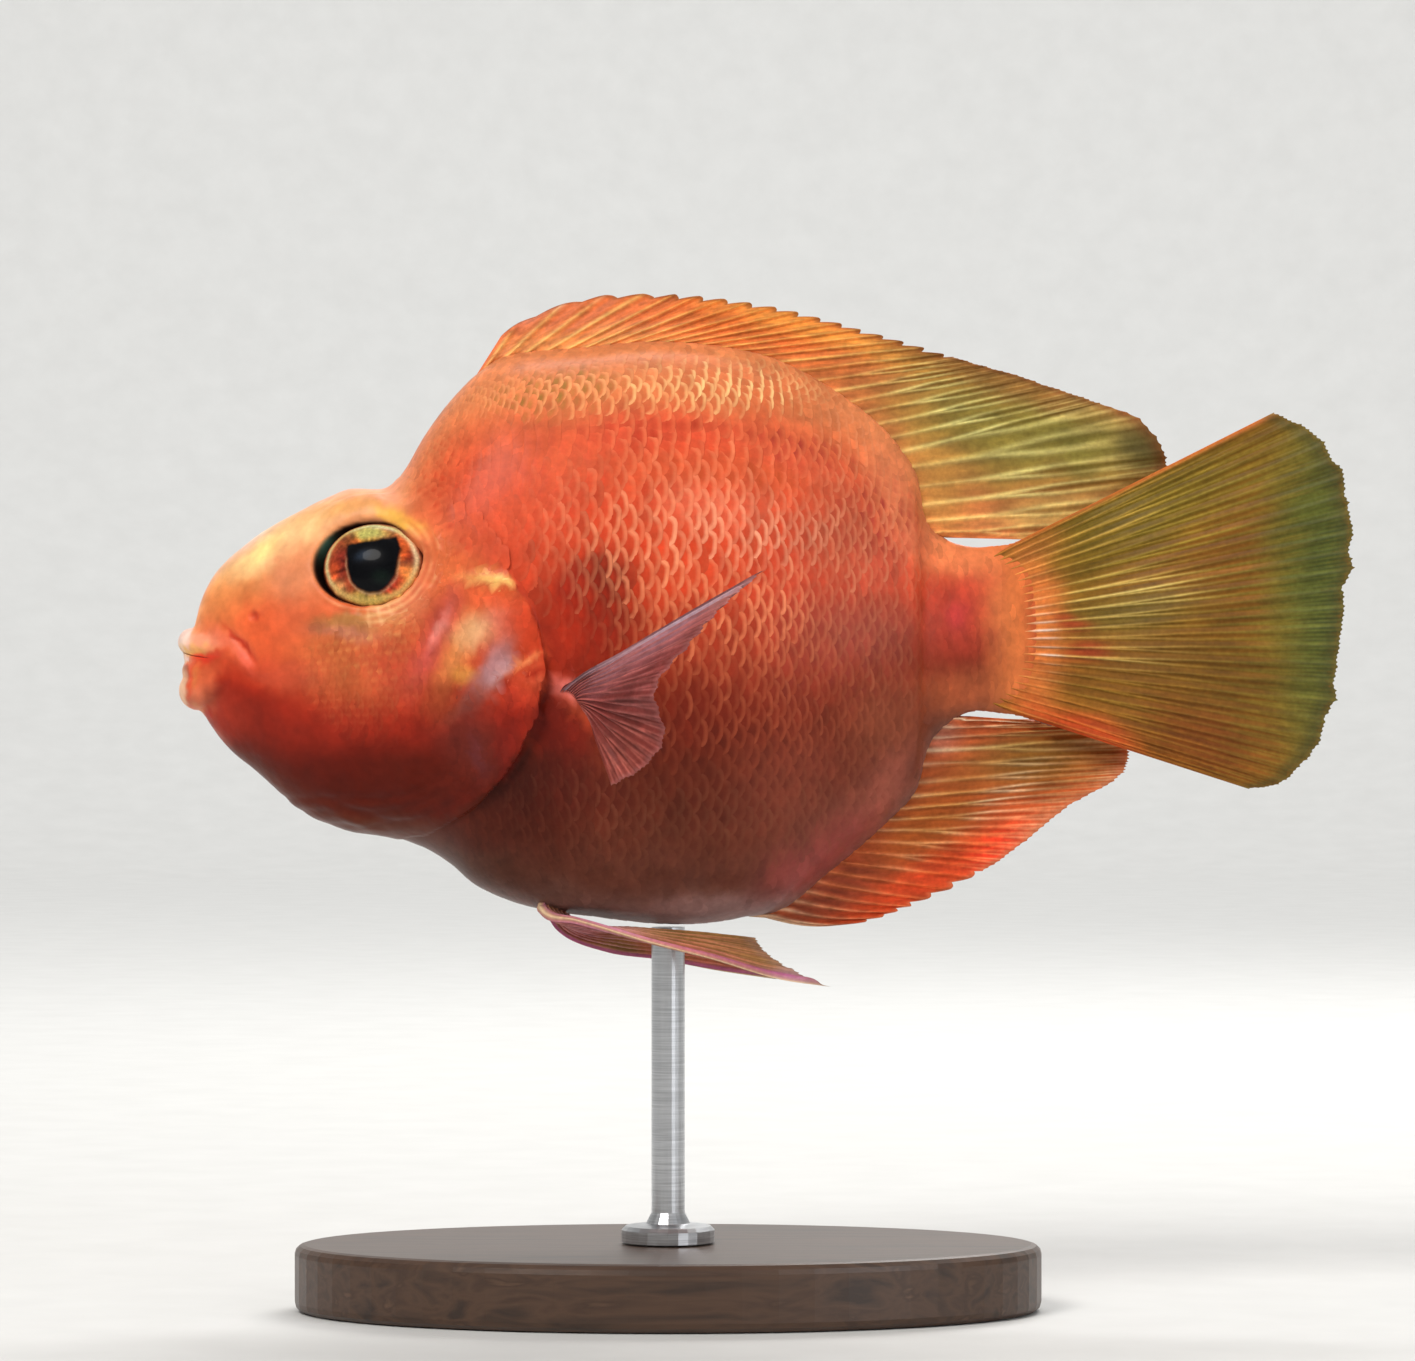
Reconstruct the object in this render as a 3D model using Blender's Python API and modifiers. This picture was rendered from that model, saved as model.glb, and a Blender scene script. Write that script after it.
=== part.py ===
"""Blood parrot cichlid, a life-size still model on a display stand.

Metres, +Z up.  The nose points to -X, the fish's left side faces -Y, and the
underside of the stand lies at Z = 0.  Sizes below are in millimetres.
"""
import math

import bmesh
import bpy
import numpy as np

MM = 0.001
GAP = 0.3

# Body outline.  Each station joins a point of the back line to a point of the
# belly line: back x, back z, belly x, belly z, half width of the body there.
STATIONS = [
    (-85.2, 101.6, -84.9, 91.0, 3.7),
    (-84.2, 105.9, -83.0, 88.2, 5.6),
    (-82.2, 110.1, -80.6, 84.9, 7.5),
    (-76.7, 115.4, -75.6, 80.6, 10.7),
    (-69.2, 119.9, -69.0, 74.9, 13.7),
    (-61.6, 123.1, -61.6, 71.7, 16.0),
    (-56.2, 123.4, -55.8, 70.8, 17.4),
    (-53.9, 125.7, -51.4, 69.4, 18.3),
    (-50.5, 131.4, -47.0, 66.9, 19.4),
    (-46.4, 136.8, -43.1, 63.6, 20.3),
    (-41.8, 141.2, -38.5, 61.4, 21.1),
    (-26.8, 144.1, -25.2, 58.8, 22.4),
    (-6.8, 144.4, -7.0, 58.0, 20.9),
    (2.5, 142.2, 2.2, 59.8, 18.6),
    (11.8, 137.0, 10.0, 65.7, 15.0),
    (19.6, 130.3, 18.7, 73.2, 10.9),
    (22.6, 126.0, 22.6, 77.2, 9.0),
    (25.2, 117.2, 26.1, 86.3, 6.6),
    (28.3, 115.1, 29.8, 89.0, 5.6),
    (36.0, 115.0, 36.0, 89.2, 2.3),
]
SNOUT = (-85.7, 96.4)

# How sharp the sections are, as superellipse powers over and under the widest
# level, and how high that level lies, from nose, mid body to tail.
POWER_X = (-86.0, -60.0, -40.0, -5.0, 25.0, 36.0)
POWER_OVER = (2.3, 2.35, 2.0, 1.75, 1.8, 2.1)
POWER_UNDER = (2.2, 2.15, 2.1, 2.15, 1.8, 2.1)
WIDEST = (0.50, 0.53, 0.52, 0.49, 0.49, 0.50)

# Rear edge of the gill cover, an arc about a centre on the cheek.
GILL_X = -58.0
GILL_Z = 98.0
GILL_REACH = 26.5
GILL_HEIGHT = 28.0
GILL_POWER_OVER = 1.5
GILL_POWER_UNDER = 2.0
GILL_LIFT = 0.8
CHEEK_REACH = 12.5
CHEEK_HEIGHT = 19.0
CHEEK_LIFT = 0.45

TAIL_CUT_X = 25.6

RING_POINTS = 40
HEAD_RINGS = 24
TORSO_RINGS = 30
TAIL_RINGS = 7

# Mouth, nostrils and eyes.
LIP_SEGMENTS = 14
UPPER_LIP = [(-85.4, 0.0, 100.2, 2.1), (-84.0, 3.9, 100.1, 1.9),
             (-80.3, 6.9, 99.2, 1.5), (-75.7, 9.6, 96.4, 1.1)]
LIP_EDGE = [(-84.6, 0.0, 96.0, 2.0), (-83.2, 3.7, 96.0, 1.9),
            (-80.2, 6.5, 96.5, 1.3)]
LOWER_LIP = [(-84.4, 0.0, 92.9, 3.0), (-83.0, 3.7, 93.2, 2.6),
             (-79.9, 6.4, 94.4, 1.8), (-77.0, 8.5, 95.0, 1.1)]
MOUTH_SLIT = (-84.6, 0.0, 98.1)
MOUTH_RADII = (4.6, 7.4, 0.45)
NOSTRIL = (-75.3, 104.0)
NOSTRIL_RADII = (1.0, 0.9, 0.7)
EYE = (-58.8, 112.4)
EYE_WIDE = 8.6
EYE_TALL = 7.3
EYE_DEPTH = 4.6
EYE_PROUD = 2.2
EYE_TURN = (-0.22, -0.93, 0.28)
EYE_SEGMENTS = 24
EYE_ROWS = 12
ORBIT_SINK = 0.4
ORBIT_FLAT = 7.0
ORBIT_FADE = 12.0

# Fins, all with rays raised in the membrane.  A margin lists where the tips
# lie.  Each lean table gives, for the x of a ray's root, the share of the
# margin that its tip reaches.
MEMBRANE = 0.5
RAY_STEPS = 3

DORSAL_RAYS = 25
DORSAL_ROWS = 6
DORSAL_MARGIN = [(-41.3, 143.0), (-39.3, 145.9), (-33.2, 149.6), (-25.6, 151.9),
                 (-14.0, 152.3), (0.0, 150.8), (16.2, 146.7), (32.0, 142.0),
                 (47.9, 137.1), (58.9, 132.2), (61.2, 128.0), (60.0, 123.0),
                 (52.0, 119.0), (39.5, 116.5)]
DORSAL_LEAN = [(-41.6, 0.03), (-36.2, 0.13), (-30.2, 0.21), (-16.7, 0.335),
               (-1.7, 0.46), (13.3, 0.59), (21.5, 0.71), (24.5, 0.84), (27.4, 1.0)]
ANAL_BOW = 0.8
ANAL_RAYS = 16
ANAL_ROWS = 6
ANAL_MARGIN = [(4.0, 57.8), (9.0, 57.2), (14.8, 58.0), (24.0, 61.2), (35.0, 67.0),
               (46.0, 75.4), (55.3, 82.5), (55.0, 85.6), (48.0, 87.2),
               (39.5, 87.4)]
ANAL_LEAN = [(0.5, 0.13), (8.0, 0.26), (11.8, 0.36), (16.3, 0.48), (20.8, 0.63),
             (24.0, 0.74), (26.8, 0.87), (31.0, 1.0)]
CAUDAL_RAYS = 17
CAUDAL_ROWS = 8
CAUDAL_MARGIN = [(76.4, 134.4), (80.8, 132.1), (85.2, 127.4), (87.5, 119.7),
                 (87.2, 108.9), (85.9, 97.9), (84.8, 90.2), (81.6, 83.2),
                 (76.6, 78.9), (72.7, 78.2)]
CAUDAL_SWING = 7.5
FIN_LEAN = 0.17
FIN_GAP = 0.4

PECTORAL_RAYS = 13
PECTORAL_ROWS = 8
PECTORAL_NECK = 2.4
PECTORAL_ROOT = [(-28.6, 93.9), (-27.0, 92.4), (-25.8, 90.6)]
PECTORAL_TIPS = [(0.2, 110.4, 9.0), (-4.6, 106.4, 14.0), (-9.8, 100.6, 18.5),
                 (-15.6, 92.4, 20.0), (-14.2, 86.6, 17.5), (-17.4, 81.7, 14.0),
                 (-22.0, 79.2, 10.5)]

PELVIC_RAYS = 7
PELVIC_ROWS = 11
PELVIC_ROOT_OUTER = (-33.2, 5.6)
PELVIC_ROOT_INNER = (-29.4, 2.6)
PELVIC_LEFT = [(-27.9, 58.9, 7.8), (-17.5, 55.9, 10.4), (-6.8, 53.1, 12.2),
               (3.0, 50.2, 13.6), (10.0, 49.2, 14.0)]
PELVIC_LEFT_INNER = [(-19.0, 57.2, 4.6), (-9.0, 56.8, 6.4), (-1.0, 56.2, 8.0)]
PELVIC_RIGHT = [(-31.0, 57.2, 7.4), (-23.5, 53.4, 9.6), (-15.4, 52.1, 10.9),
                (-6.8, 50.4, 12.0), (2.3, 49.0, 12.6)]
PELVIC_RIGHT_INNER = [(-19.0, 56.2, 4.6), (-10.0, 55.2, 6.0), (-3.6, 54.2, 7.2)]
PELVIC_OUTER_PULL = 0.22
PELVIC_NECK = 1.0

# Display stand.
BASE_X = -14.0
BASE_LENGTH = 112.0
BASE_WIDTH = 68.0
BASE_HEIGHT = 10.0
BASE_EDGE = 1.5
ROD_X = -14.0
ROD_RADIUS = 2.5
ROD_FOOT_RADIUS = 7.0
ROD_FOOT_HEIGHT = 2.4

SKIN_ORANGE = (0.86, 0.22, 0.08)
SKIN_DEEP = (0.78, 0.15, 0.06)
FIN_ORANGE = (0.80, 0.30, 0.09)
FIN_OLIVE = (0.62, 0.38, 0.10)
FIN_PINK = (0.80, 0.38, 0.36)
EYE_COLOUR = (0.55, 0.40, 0.10)
BASE_COLOUR = (0.03, 0.03, 0.035)
ROD_COLOUR = (0.55, 0.55, 0.56)


def clear_scene():
    """Take every object out of the open scene."""
    for item in list(bpy.data.objects):
        bpy.data.objects.remove(item, do_unlink=True)


def make_collection(name):
    """Add a collection to the scene."""
    collection = bpy.data.collections.new(name)
    bpy.context.scene.collection.children.link(collection)
    return collection


def make_material(name, colour, roughness, metallic=0.0):
    """A plain Principled material."""
    material = bpy.data.materials.new(name)
    material.use_nodes = True
    shader = material.node_tree.nodes["Principled BSDF"]
    shader.inputs["Base Color"].default_value = (*colour, 1.0)
    shader.inputs["Roughness"].default_value = roughness
    shader.inputs["Metallic"].default_value = metallic
    material.diffuse_color = (*colour, 1.0)
    return material


class Track:
    """A smooth curve through a few points, read by its share of the length."""

    def __init__(self, points, knots=None):
        self.points = np.array(points, float)
        if knots is None:
            steps = np.linalg.norm(np.diff(self.points, axis=0), axis=1)
            knots = np.concatenate([[0.0], np.cumsum(steps)]) / steps.sum()
        self.knots = knots
        step = np.diff(knots)[:, None]
        slope = np.diff(self.points, axis=0) / step
        middle = (slope[:-1] * step[1:] + slope[1:] * step[:-1]) / (step[1:] + step[:-1])
        self.slopes = np.vstack([slope[:1], middle, slope[-1:]])

    def at(self, share):
        """Points at the given shares, as rows."""
        share = np.atleast_1d(np.asarray(share, float))
        index = np.clip(np.searchsorted(self.knots, share) - 1, 0, len(self.knots) - 2)
        width = (self.knots[index + 1] - self.knots[index])[:, None]
        s = (share[:, None] - self.knots[index][:, None]) / width
        p0, p1 = self.points[index], self.points[index + 1]
        m0, m1 = self.slopes[index] * width, self.slopes[index + 1] * width
        return ((2 * s**3 - 3 * s**2 + 1) * p0 + (s**3 - 2 * s**2 + s) * m0
                + (3 * s**2 - 2 * s**3) * p1 + (s**3 - s**2) * m1)


def body_track():
    """The stations as one track, spaced by the lengths of both outlines."""
    table = np.array([(SNOUT[0], SNOUT[1] + 0.01, SNOUT[0], SNOUT[1] - 0.01, 0.01)]
                     + STATIONS)
    back = np.linalg.norm(np.diff(table[:, 0:2], axis=0), axis=1)
    belly = np.linalg.norm(np.diff(table[:, 2:4], axis=0), axis=1)
    steps = 0.5 * (back + belly)
    knots = np.concatenate([[0.0], np.cumsum(steps)]) / steps.sum()
    return Track(table, knots)


BODY = body_track()


def body_point(u, turn):
    """Point of the bare body at share u of its length.

    turn runs from 0 at the back to pi at the belly; below 0 is the other side.
    """
    u, turn = np.broadcast_arrays(np.asarray(u, float), np.asarray(turn, float))
    row = BODY.at(u.ravel()).reshape(u.shape + (5,))
    x = 0.5 * (row[..., 0] + row[..., 2])
    over = np.interp(x, POWER_X, POWER_OVER)
    under = np.interp(x, POWER_X, POWER_UNDER)
    level = np.interp(x, POWER_X, WIDEST)[..., None]
    back, belly = row[..., 0:2], row[..., 2:4]
    centre = belly + level * (back - belly)
    up = np.cos(turn)
    power = 2.0 / np.where(up >= 0.0, over, under)
    reach = (np.abs(up) ** power)[..., None]
    side = np.where((up >= 0.0)[..., None], back, belly)
    flat = centre + (side - centre) * reach
    y = -np.sign(turn) * row[..., 4] * np.abs(np.sin(turn)) ** power
    return np.stack([flat[..., 0], y, flat[..., 1]], axis=-1)


def body_normal(u, turn):
    """Outward direction of the bare body."""
    du = body_point(u + 2e-3, turn) - body_point(u - 2e-3, turn)
    dt = body_point(u, turn + 0.02) - body_point(u, turn - 0.02)
    normal = np.cross(dt, du)
    return normal / np.linalg.norm(normal, axis=-1, keepdims=True)


def skin_at(x, z):
    """Share, turn and point of the left flank seen at x, z from the side."""
    grid = np.linspace(0.0, 1.0, 1201)
    row = BODY.at(grid)
    share = (z - row[:, 3]) / (row[:, 1] - row[:, 3])
    u = float(np.interp(0.0, row[:, 2] + share * (row[:, 0] - row[:, 2]) - x, grid))
    low, high = 0.0, math.pi
    for _ in range(40):
        middle = 0.5 * (low + high)
        if body_point(u, middle)[2] > z:
            low = middle
        else:
            high = middle
    return u, low, body_point(u, low)


def orbit():
    """Point of the left flank at the eye, and the way the eye looks."""
    axis = np.array(EYE_TURN)
    _, _, surface = skin_at(*EYE)
    return surface, axis / np.linalg.norm(axis)


def arc_measure(x, z, reach, height, grow=0.0):
    """One on an arc about the gill centre, less inside it."""
    over = z >= GILL_Z
    power = np.where(over, GILL_POWER_OVER, GILL_POWER_UNDER)
    along = np.clip(x - GILL_X, 0.0, None) / (reach + grow)
    across = np.abs(z - GILL_Z) / (height + grow)
    return (along**power + across**power) ** (1.0 / power)


def gill_side(point, grow):
    """Below zero in front of the gill edge, above zero behind it."""
    return arc_measure(point[..., 0], point[..., 2], GILL_REACH, GILL_HEIGHT, grow) - 1.0


def tail_side(point, grow):
    """Below zero in front of the tail cut, above zero behind it."""
    return point[..., 0] - TAIL_CUT_X - grow


def cut_share(turn, side, grow):
    """Share of the body length where the cut crosses each line of the body."""
    low = np.zeros_like(turn)
    high = np.ones_like(turn)
    for _ in range(40):
        middle = 0.5 * (low + high)
        behind = side(body_point(middle, turn), grow) > 0.0
        high = np.where(behind, middle, high)
        low = np.where(behind, low, middle)
    return 0.5 * (low + high)


def smooth_step(value, start, end):
    """Zero at start, one at end, smooth between."""
    s = np.clip((value - start) / (end - start), 0.0, 1.0)
    return s * s * (3.0 - 2.0 * s)


def head_relief(point):
    """How far the gill cover and the cheek plate stand out from the head."""
    x, z = point[..., 0], point[..., 2]
    edge = arc_measure(x, z, GILL_REACH, GILL_HEIGHT)
    below = 1.0 - smooth_step(z, 108.0, 116.0)
    above = smooth_step(z, 70.0, 80.0)
    gill = GILL_LIFT * smooth_step(edge, 0.72, 0.97) * below * above
    cheek = arc_measure(x, z, CHEEK_REACH, CHEEK_HEIGHT)
    ridge = CHEEK_LIFT * np.exp(-(((cheek - 1.0) * CHEEK_REACH) / 2.2) ** 2)
    centre, axis = orbit()
    offset = point - centre
    height = offset @ axis
    away = np.linalg.norm(offset - height[..., None] * axis, axis=-1)
    flat = 1.0 - smooth_step(away, ORBIT_FLAT, ORBIT_FADE)
    cheek_plate = ridge * below * smooth_step(x, -60.0, -52.0)
    return gill + cheek_plate - (height + ORBIT_SINK) * flat


def ring_turns(points):
    """Turns round one side of the body, back to belly."""
    return np.linspace(0.0, math.pi, points // 2 + 1)


def finish_mesh(name, vertices, faces, collection, material, sharp=math.radians(50)):
    """Make an object from millimetre points, with outward smooth faces."""
    mesh = bpy.data.meshes.new(name)
    mesh.from_pydata([tuple(v) for v in np.asarray(vertices) * MM], [], faces)
    bm = bmesh.new()
    bm.from_mesh(mesh)
    bmesh.ops.recalc_face_normals(bm, faces=bm.faces)
    bm.to_mesh(mesh)
    bm.free()
    mesh.materials.append(material)
    mesh.shade_smooth()
    mesh.set_sharp_from_angle(angle=sharp)
    obj = bpy.data.objects.new(name, mesh)
    collection.objects.link(obj)
    return obj


def loft_body(name, start, end, rings, pole, relief, collection, material):
    """Closed length of the body between two cuts, or from the snout's tip."""
    turn = ring_turns(RING_POINTS)
    share = np.linspace(0.0, 1.0, rings + 1)
    if pole:
        share = share[1:] ** 1.25
    u = start[None, :] + (end - start)[None, :] * share[:, None]
    turns = np.broadcast_to(turn, u.shape)
    flank = body_point(u, turns)
    if relief is not None:
        inner = slice(1, -1)
        lift = body_normal(u[:, inner], turns[:, inner])
        lift[..., 0::2] *= 1.0 - smooth_step(share, 0.75, 1.0)[:, None, None]
        flank[:, inner] += lift * relief(flank[:, inner])[..., None]
    mirror = flank[:, 1:-1] * np.array([1.0, -1.0, 1.0])
    loop = np.concatenate([flank, mirror[:, ::-1]], axis=1)
    count = loop.shape[1]
    half = len(turn)
    vertices = list(loop.reshape(-1, 3))
    faces = []
    for r in range(len(loop) - 1):
        for k in range(count):
            a, b = r * count + k, r * count + (k + 1) % count
            faces.append((a, b, b + count, a + count))
    if pole:
        vertices.append(np.array([SNOUT[0] - 0.25, 0.0, SNOUT[1]]))
        for k in range(count):
            faces.append((k, (k + 1) % count, len(vertices) - 1))
    ends = [len(loop) - 1] if pole else [0, len(loop) - 1]
    for r in ends:
        left = [r * count + k for k in range(half)]
        right = [left[0]] + [r * count + count - k for k in range(1, half - 1)] + [left[-1]]
        for k in range(half - 1):
            corners = (left[k], left[k + 1], right[k + 1], right[k])
            faces.append(tuple(dict.fromkeys(corners)))
    return finish_mesh(name, vertices, faces, collection, material)


def sheet_normals(centre):
    """Directions across a sheet of points."""
    across = np.gradient(centre, axis=0)
    along = np.gradient(centre, axis=1)
    normal = np.cross(across, along)
    return normal / np.linalg.norm(normal, axis=-1, keepdims=True)


def ray_fin(name, centre, rays, halves, collection, material, out=None):
    """A fin from its middle sheet, with a ridge on both faces along each ray.

    centre holds a point for each column and row, columns running along the
    root and rows from the root to the margin.  halves are half the thickness
    of the root, of a ray near it and of a ray at the margin.  out is the
    direction off the skin at each column of the root, which squares the root.
    """
    root_half, ridge_half, tip_half = halves
    columns, rows = centre.shape[:2]
    v = np.linspace(0.0, 1.0, rows)[None, :]
    on_ray = (np.arange(columns) % RAY_STEPS == 0)[:, None]
    half = np.full((columns, rows), 0.5 * MEMBRANE)
    ray = ridge_half + (tip_half - ridge_half) * v
    half = np.where(on_ray, np.maximum(ray, half), half)
    swell = (1.0 - smooth_step(v, 0.0, 0.3)) * root_half
    half = np.maximum(half, swell + 0.35 * half)
    normal = sheet_normals(centre)
    if out is not None:
        flat = normal[:, 0] - (normal[:, 0] * out).sum(axis=1, keepdims=True) * out
        normal[:, 0] = flat / np.linalg.norm(flat, axis=1, keepdims=True)
    front = centre + normal * half[..., None]
    rear = centre - normal * half[..., None]
    vertices = np.concatenate([front.reshape(-1, 3), rear.reshape(-1, 3)])
    count = columns * rows
    faces = []
    for c in range(columns - 1):
        for r in range(rows - 1):
            a = c * rows + r
            b = a + rows
            faces.append((a, b, b + 1))
            faces.append((a, b + 1, a + 1))
            faces.append((a + count, b + 1 + count, b + count))
            faces.append((a + count, a + 1 + count, b + 1 + count))
    rim = [(c, 0) for c in range(columns)]
    rim += [(columns - 1, r) for r in range(1, rows)]
    rim += [(c, rows - 1) for c in range(columns - 2, -1, -1)]
    rim += [(0, r) for r in range(rows - 2, 0, -1)]
    ids = [c * rows + r for c, r in rim]
    for k, a in enumerate(ids):
        b = ids[(k + 1) % len(ids)]
        faces.append((a, a + count, b + count))
        faces.append((a, b + count, b))
    assert rays == (columns - 1) // RAY_STEPS + 1
    return finish_mesh(name, vertices, faces, collection, material, math.radians(35))


def fin_columns(rays):
    """Shares of a fin's root at which its columns start."""
    return np.linspace(0.0, 1.0, (rays - 1) * RAY_STEPS + 1)


def notch(rays, depth):
    """How far each column reaches, shorter between the rays."""
    columns = np.arange((rays - 1) * RAY_STEPS + 1)
    return np.where(columns % RAY_STEPS == 0, 1.0, 1.0 - depth)


def stretch(root, tip, rows, reach):
    """Straight rows of points from each root point to its tip."""
    v = np.linspace(0.0, 1.0, rows)[None, :, None] * reach[:, None, None]
    return root[:, None, :] + (tip - root)[:, None, :] * v


def sweep(centre):
    """Distance of each point of a sheet from its root, up to a full lean."""
    return np.minimum(np.linalg.norm(centre - centre[:, :1], axis=-1), 20.0)


def median_root(u, turn):
    """Points just off the body's middle line, back or belly."""
    point = body_point(u, np.full_like(u, turn))
    ahead = body_point(u + 1e-3, np.full_like(u, turn))
    behind = body_point(u - 1e-3, np.full_like(u, turn))
    along = ahead - behind
    out = np.stack([-along[:, 2], np.zeros_like(u), along[:, 0]], axis=-1)
    out /= np.linalg.norm(out, axis=-1, keepdims=True)
    if turn > 1.0:
        out = -out
    return point + out * FIN_GAP


def line_share(x, column):
    """Share of the body length where an outline column reaches x."""
    grid = np.linspace(0.0, 1.0, 2001)
    return float(np.interp(x, BODY.at(grid)[:, column], grid))


def lean(root, table):
    """Share of the margin that each ray's tip reaches, by its root's x."""
    x, share = np.array(table).T
    return np.interp(root[:, 0], x, share)


def with_side(points):
    """Flat x, z points as x, y, z with y zero."""
    points = np.asarray(points, float)
    return np.stack([points[:, 0], np.zeros(len(points)), points[:, 1]], axis=-1)


def dorsal_fin(collection, material):
    """Long fin on the back, spines in front and soft rays behind."""
    a = fin_columns(DORSAL_RAYS)
    u = line_share(-41.6, 0) + (line_share(27.4, 0) - line_share(-41.6, 0)) * a
    root = median_root(u, 0.0)
    tip = with_side(Track(DORSAL_MARGIN).at(lean(root, DORSAL_LEAN)))
    centre = stretch(root, tip, DORSAL_ROWS, notch(DORSAL_RAYS, 0.035))
    centre[..., 1] += FIN_LEAN * sweep(centre) * smooth_step(a, 0.5, 0.9)[:, None]
    return ray_fin("dorsal_fin", centre, DORSAL_RAYS, (0.9, 0.48, 0.3), collection, material)


def anal_fin(collection, material):
    """Fin under the rear of the body."""
    a = fin_columns(ANAL_RAYS)
    start, end = line_share(0.5, 2), line_share(31.0, 2)
    root = median_root(start + (end - start) * a, math.pi)
    tip = with_side(Track(ANAL_MARGIN).at(lean(root, ANAL_LEAN)))
    centre = stretch(root, tip, ANAL_ROWS, notch(ANAL_RAYS, 0.03))
    bow = np.sin(math.pi * np.linspace(0.0, 1.0, ANAL_ROWS))[None, :]
    centre[..., 2] -= ANAL_BOW * bow * (1.0 - smooth_step(a, 0.0, 0.4))[:, None]
    centre[..., 1] += FIN_LEAN * sweep(centre) * smooth_step(a, 0.3, 0.9)[:, None]
    return ray_fin("anal_fin", centre, ANAL_RAYS, (0.9, 0.48, 0.3), collection, material)


def caudal_fin(collection, material):
    """Tail fin, swung a little to the fish's left."""
    a = fin_columns(CAUDAL_RAYS)
    back, belly = BODY.at(1.0)[0, 0:2], BODY.at(1.0)[0, 2:4]
    height = back[1] - belly[1]
    root = np.stack([np.full_like(a, back[0] + GAP), np.zeros_like(a),
                     back[1] - 0.8 - (height - 1.6) * a], axis=-1)
    tip = with_side(Track(CAUDAL_MARGIN).at(a))
    centre = stretch(root, tip, CAUDAL_ROWS, notch(CAUDAL_RAYS, 0.015))
    share = np.clip((centre[..., 0] - back[0]) / (87.5 - back[0]), 0.0, 1.0)
    centre[..., 1] -= CAUDAL_SWING * share**1.15
    return ray_fin("caudal_fin", centre, CAUDAL_RAYS, (1.8, 0.55, 0.3), collection, material)


def off_skin(x, z, distance):
    """Point a given distance off the left flank, and the outward direction."""
    u, turn, point = skin_at(x, z)
    normal = body_normal(u, turn)
    return point + normal * distance, normal


def rise(v):
    """How a fin stands off the skin near its root, by its share of length."""
    return smooth_step(v, 0.0, 0.35) * (1.0 - smooth_step(v, 0.35, 1.0))


def pectoral_fin(side, name, collection, material):
    """Cupped fan behind the gill cover; side is 1 for the left, -1 for the right."""
    a = fin_columns(PECTORAL_RAYS)
    places = [off_skin(x, z, FIN_GAP) for x, z in Track(PECTORAL_ROOT).at(a)]
    root = np.array([point for point, _ in places])
    out_of_skin = np.array([normal for _, normal in places])
    ends = Track(PECTORAL_TIPS).at(a)
    tip = np.stack([ends[:, 0], root[:, 1] - ends[:, 2], ends[:, 1]], axis=-1)
    centre = stretch(root, tip, PECTORAL_ROWS, notch(PECTORAL_RAYS, 0.03))
    neck = PECTORAL_NECK * rise(np.linspace(0.0, 1.0, PECTORAL_ROWS))
    centre += out_of_skin[:, None, :] * neck[None, :, None]
    centre[..., 1] *= side
    out_of_skin[:, 1] *= side
    halves = (0.9, 0.42, 0.28)
    return ray_fin(name, centre, PECTORAL_RAYS, halves, collection, material, out_of_skin)


def belly_under(x, y):
    """Point just off the underside at x and sideways y, and the way out."""
    u = line_share(x, 2)
    low, high = 0.5 * math.pi, math.pi
    for _ in range(40):
        middle = 0.5 * (low + high)
        if -body_point(u, middle)[1] > abs(y):
            low = middle
        else:
            high = middle
    normal = body_normal(u, low)
    return body_point(u, low) + normal * FIN_GAP, normal


def pelvic_fin(side, name, outer, inner, collection, material):
    """Long pointed fin under the chest, its spine along the outer edge."""
    a = fin_columns(PELVIC_RAYS)
    roots = (belly_under(*PELVIC_ROOT_OUTER), belly_under(*PELVIC_ROOT_INNER))
    edges = []
    for (start, normal), edge in zip(roots, (outer, inner)):
        neck = start + normal * PELVIC_NECK + np.array([PELVIC_NECK, 0.0, 0.0])
        edges.append(Track([(p[0], p[2], -p[1]) for p in (start, neck)] + list(edge)))
    rows = np.linspace(0.0, 1.0, PELVIC_ROWS) ** 1.4
    centre = np.empty((len(a), PELVIC_ROWS, 3))
    for c, share in enumerate(a):
        reach = rows * (1.0 - PELVIC_OUTER_PULL * share)
        line = (1.0 - share) * edges[0].at(reach) + share * edges[1].at(rows)
        centre[c] = np.stack([line[:, 0], -side * line[:, 2], line[:, 1]], axis=-1)
    out = (1.0 - a[:, None]) * roots[0][1] + a[:, None] * roots[1][1]
    out[:, 1] *= side
    out /= np.linalg.norm(out, axis=1, keepdims=True)
    return ray_fin(name, centre, PELVIC_RAYS, (0.8, 0.5, 0.3), collection, material, out)


def eye_ball(name, side, grow, collection, material):
    """Flattened ball of the eye, or the room for it when grow is above zero."""
    centre, axis = orbit()
    flip = np.array([1.0, side, 1.0])
    centre, axis = (centre + axis * (EYE_PROUD - EYE_DEPTH)) * flip, axis * flip
    bm = bmesh.new()
    bmesh.ops.create_uvsphere(bm, u_segments=EYE_SEGMENTS, v_segments=EYE_ROWS, radius=1.0)
    mesh = bpy.data.meshes.new(name)
    bm.to_mesh(mesh)
    bm.free()
    points = np.array([v.co for v in mesh.vertices])
    across = np.cross(axis, (0.0, 0.0, 1.0))
    across /= np.linalg.norm(across)
    up = np.cross(across, axis)
    turned = (points[:, 0:1] * across * (EYE_WIDE + grow)
              + points[:, 1:2] * up * (EYE_TALL + grow)
              + points[:, 2:3] * axis * (EYE_DEPTH + grow))
    faces = [tuple(p.vertices) for p in mesh.polygons]
    bpy.data.meshes.remove(mesh)
    return finish_mesh(name, centre + turned, faces, collection, material)


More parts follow.
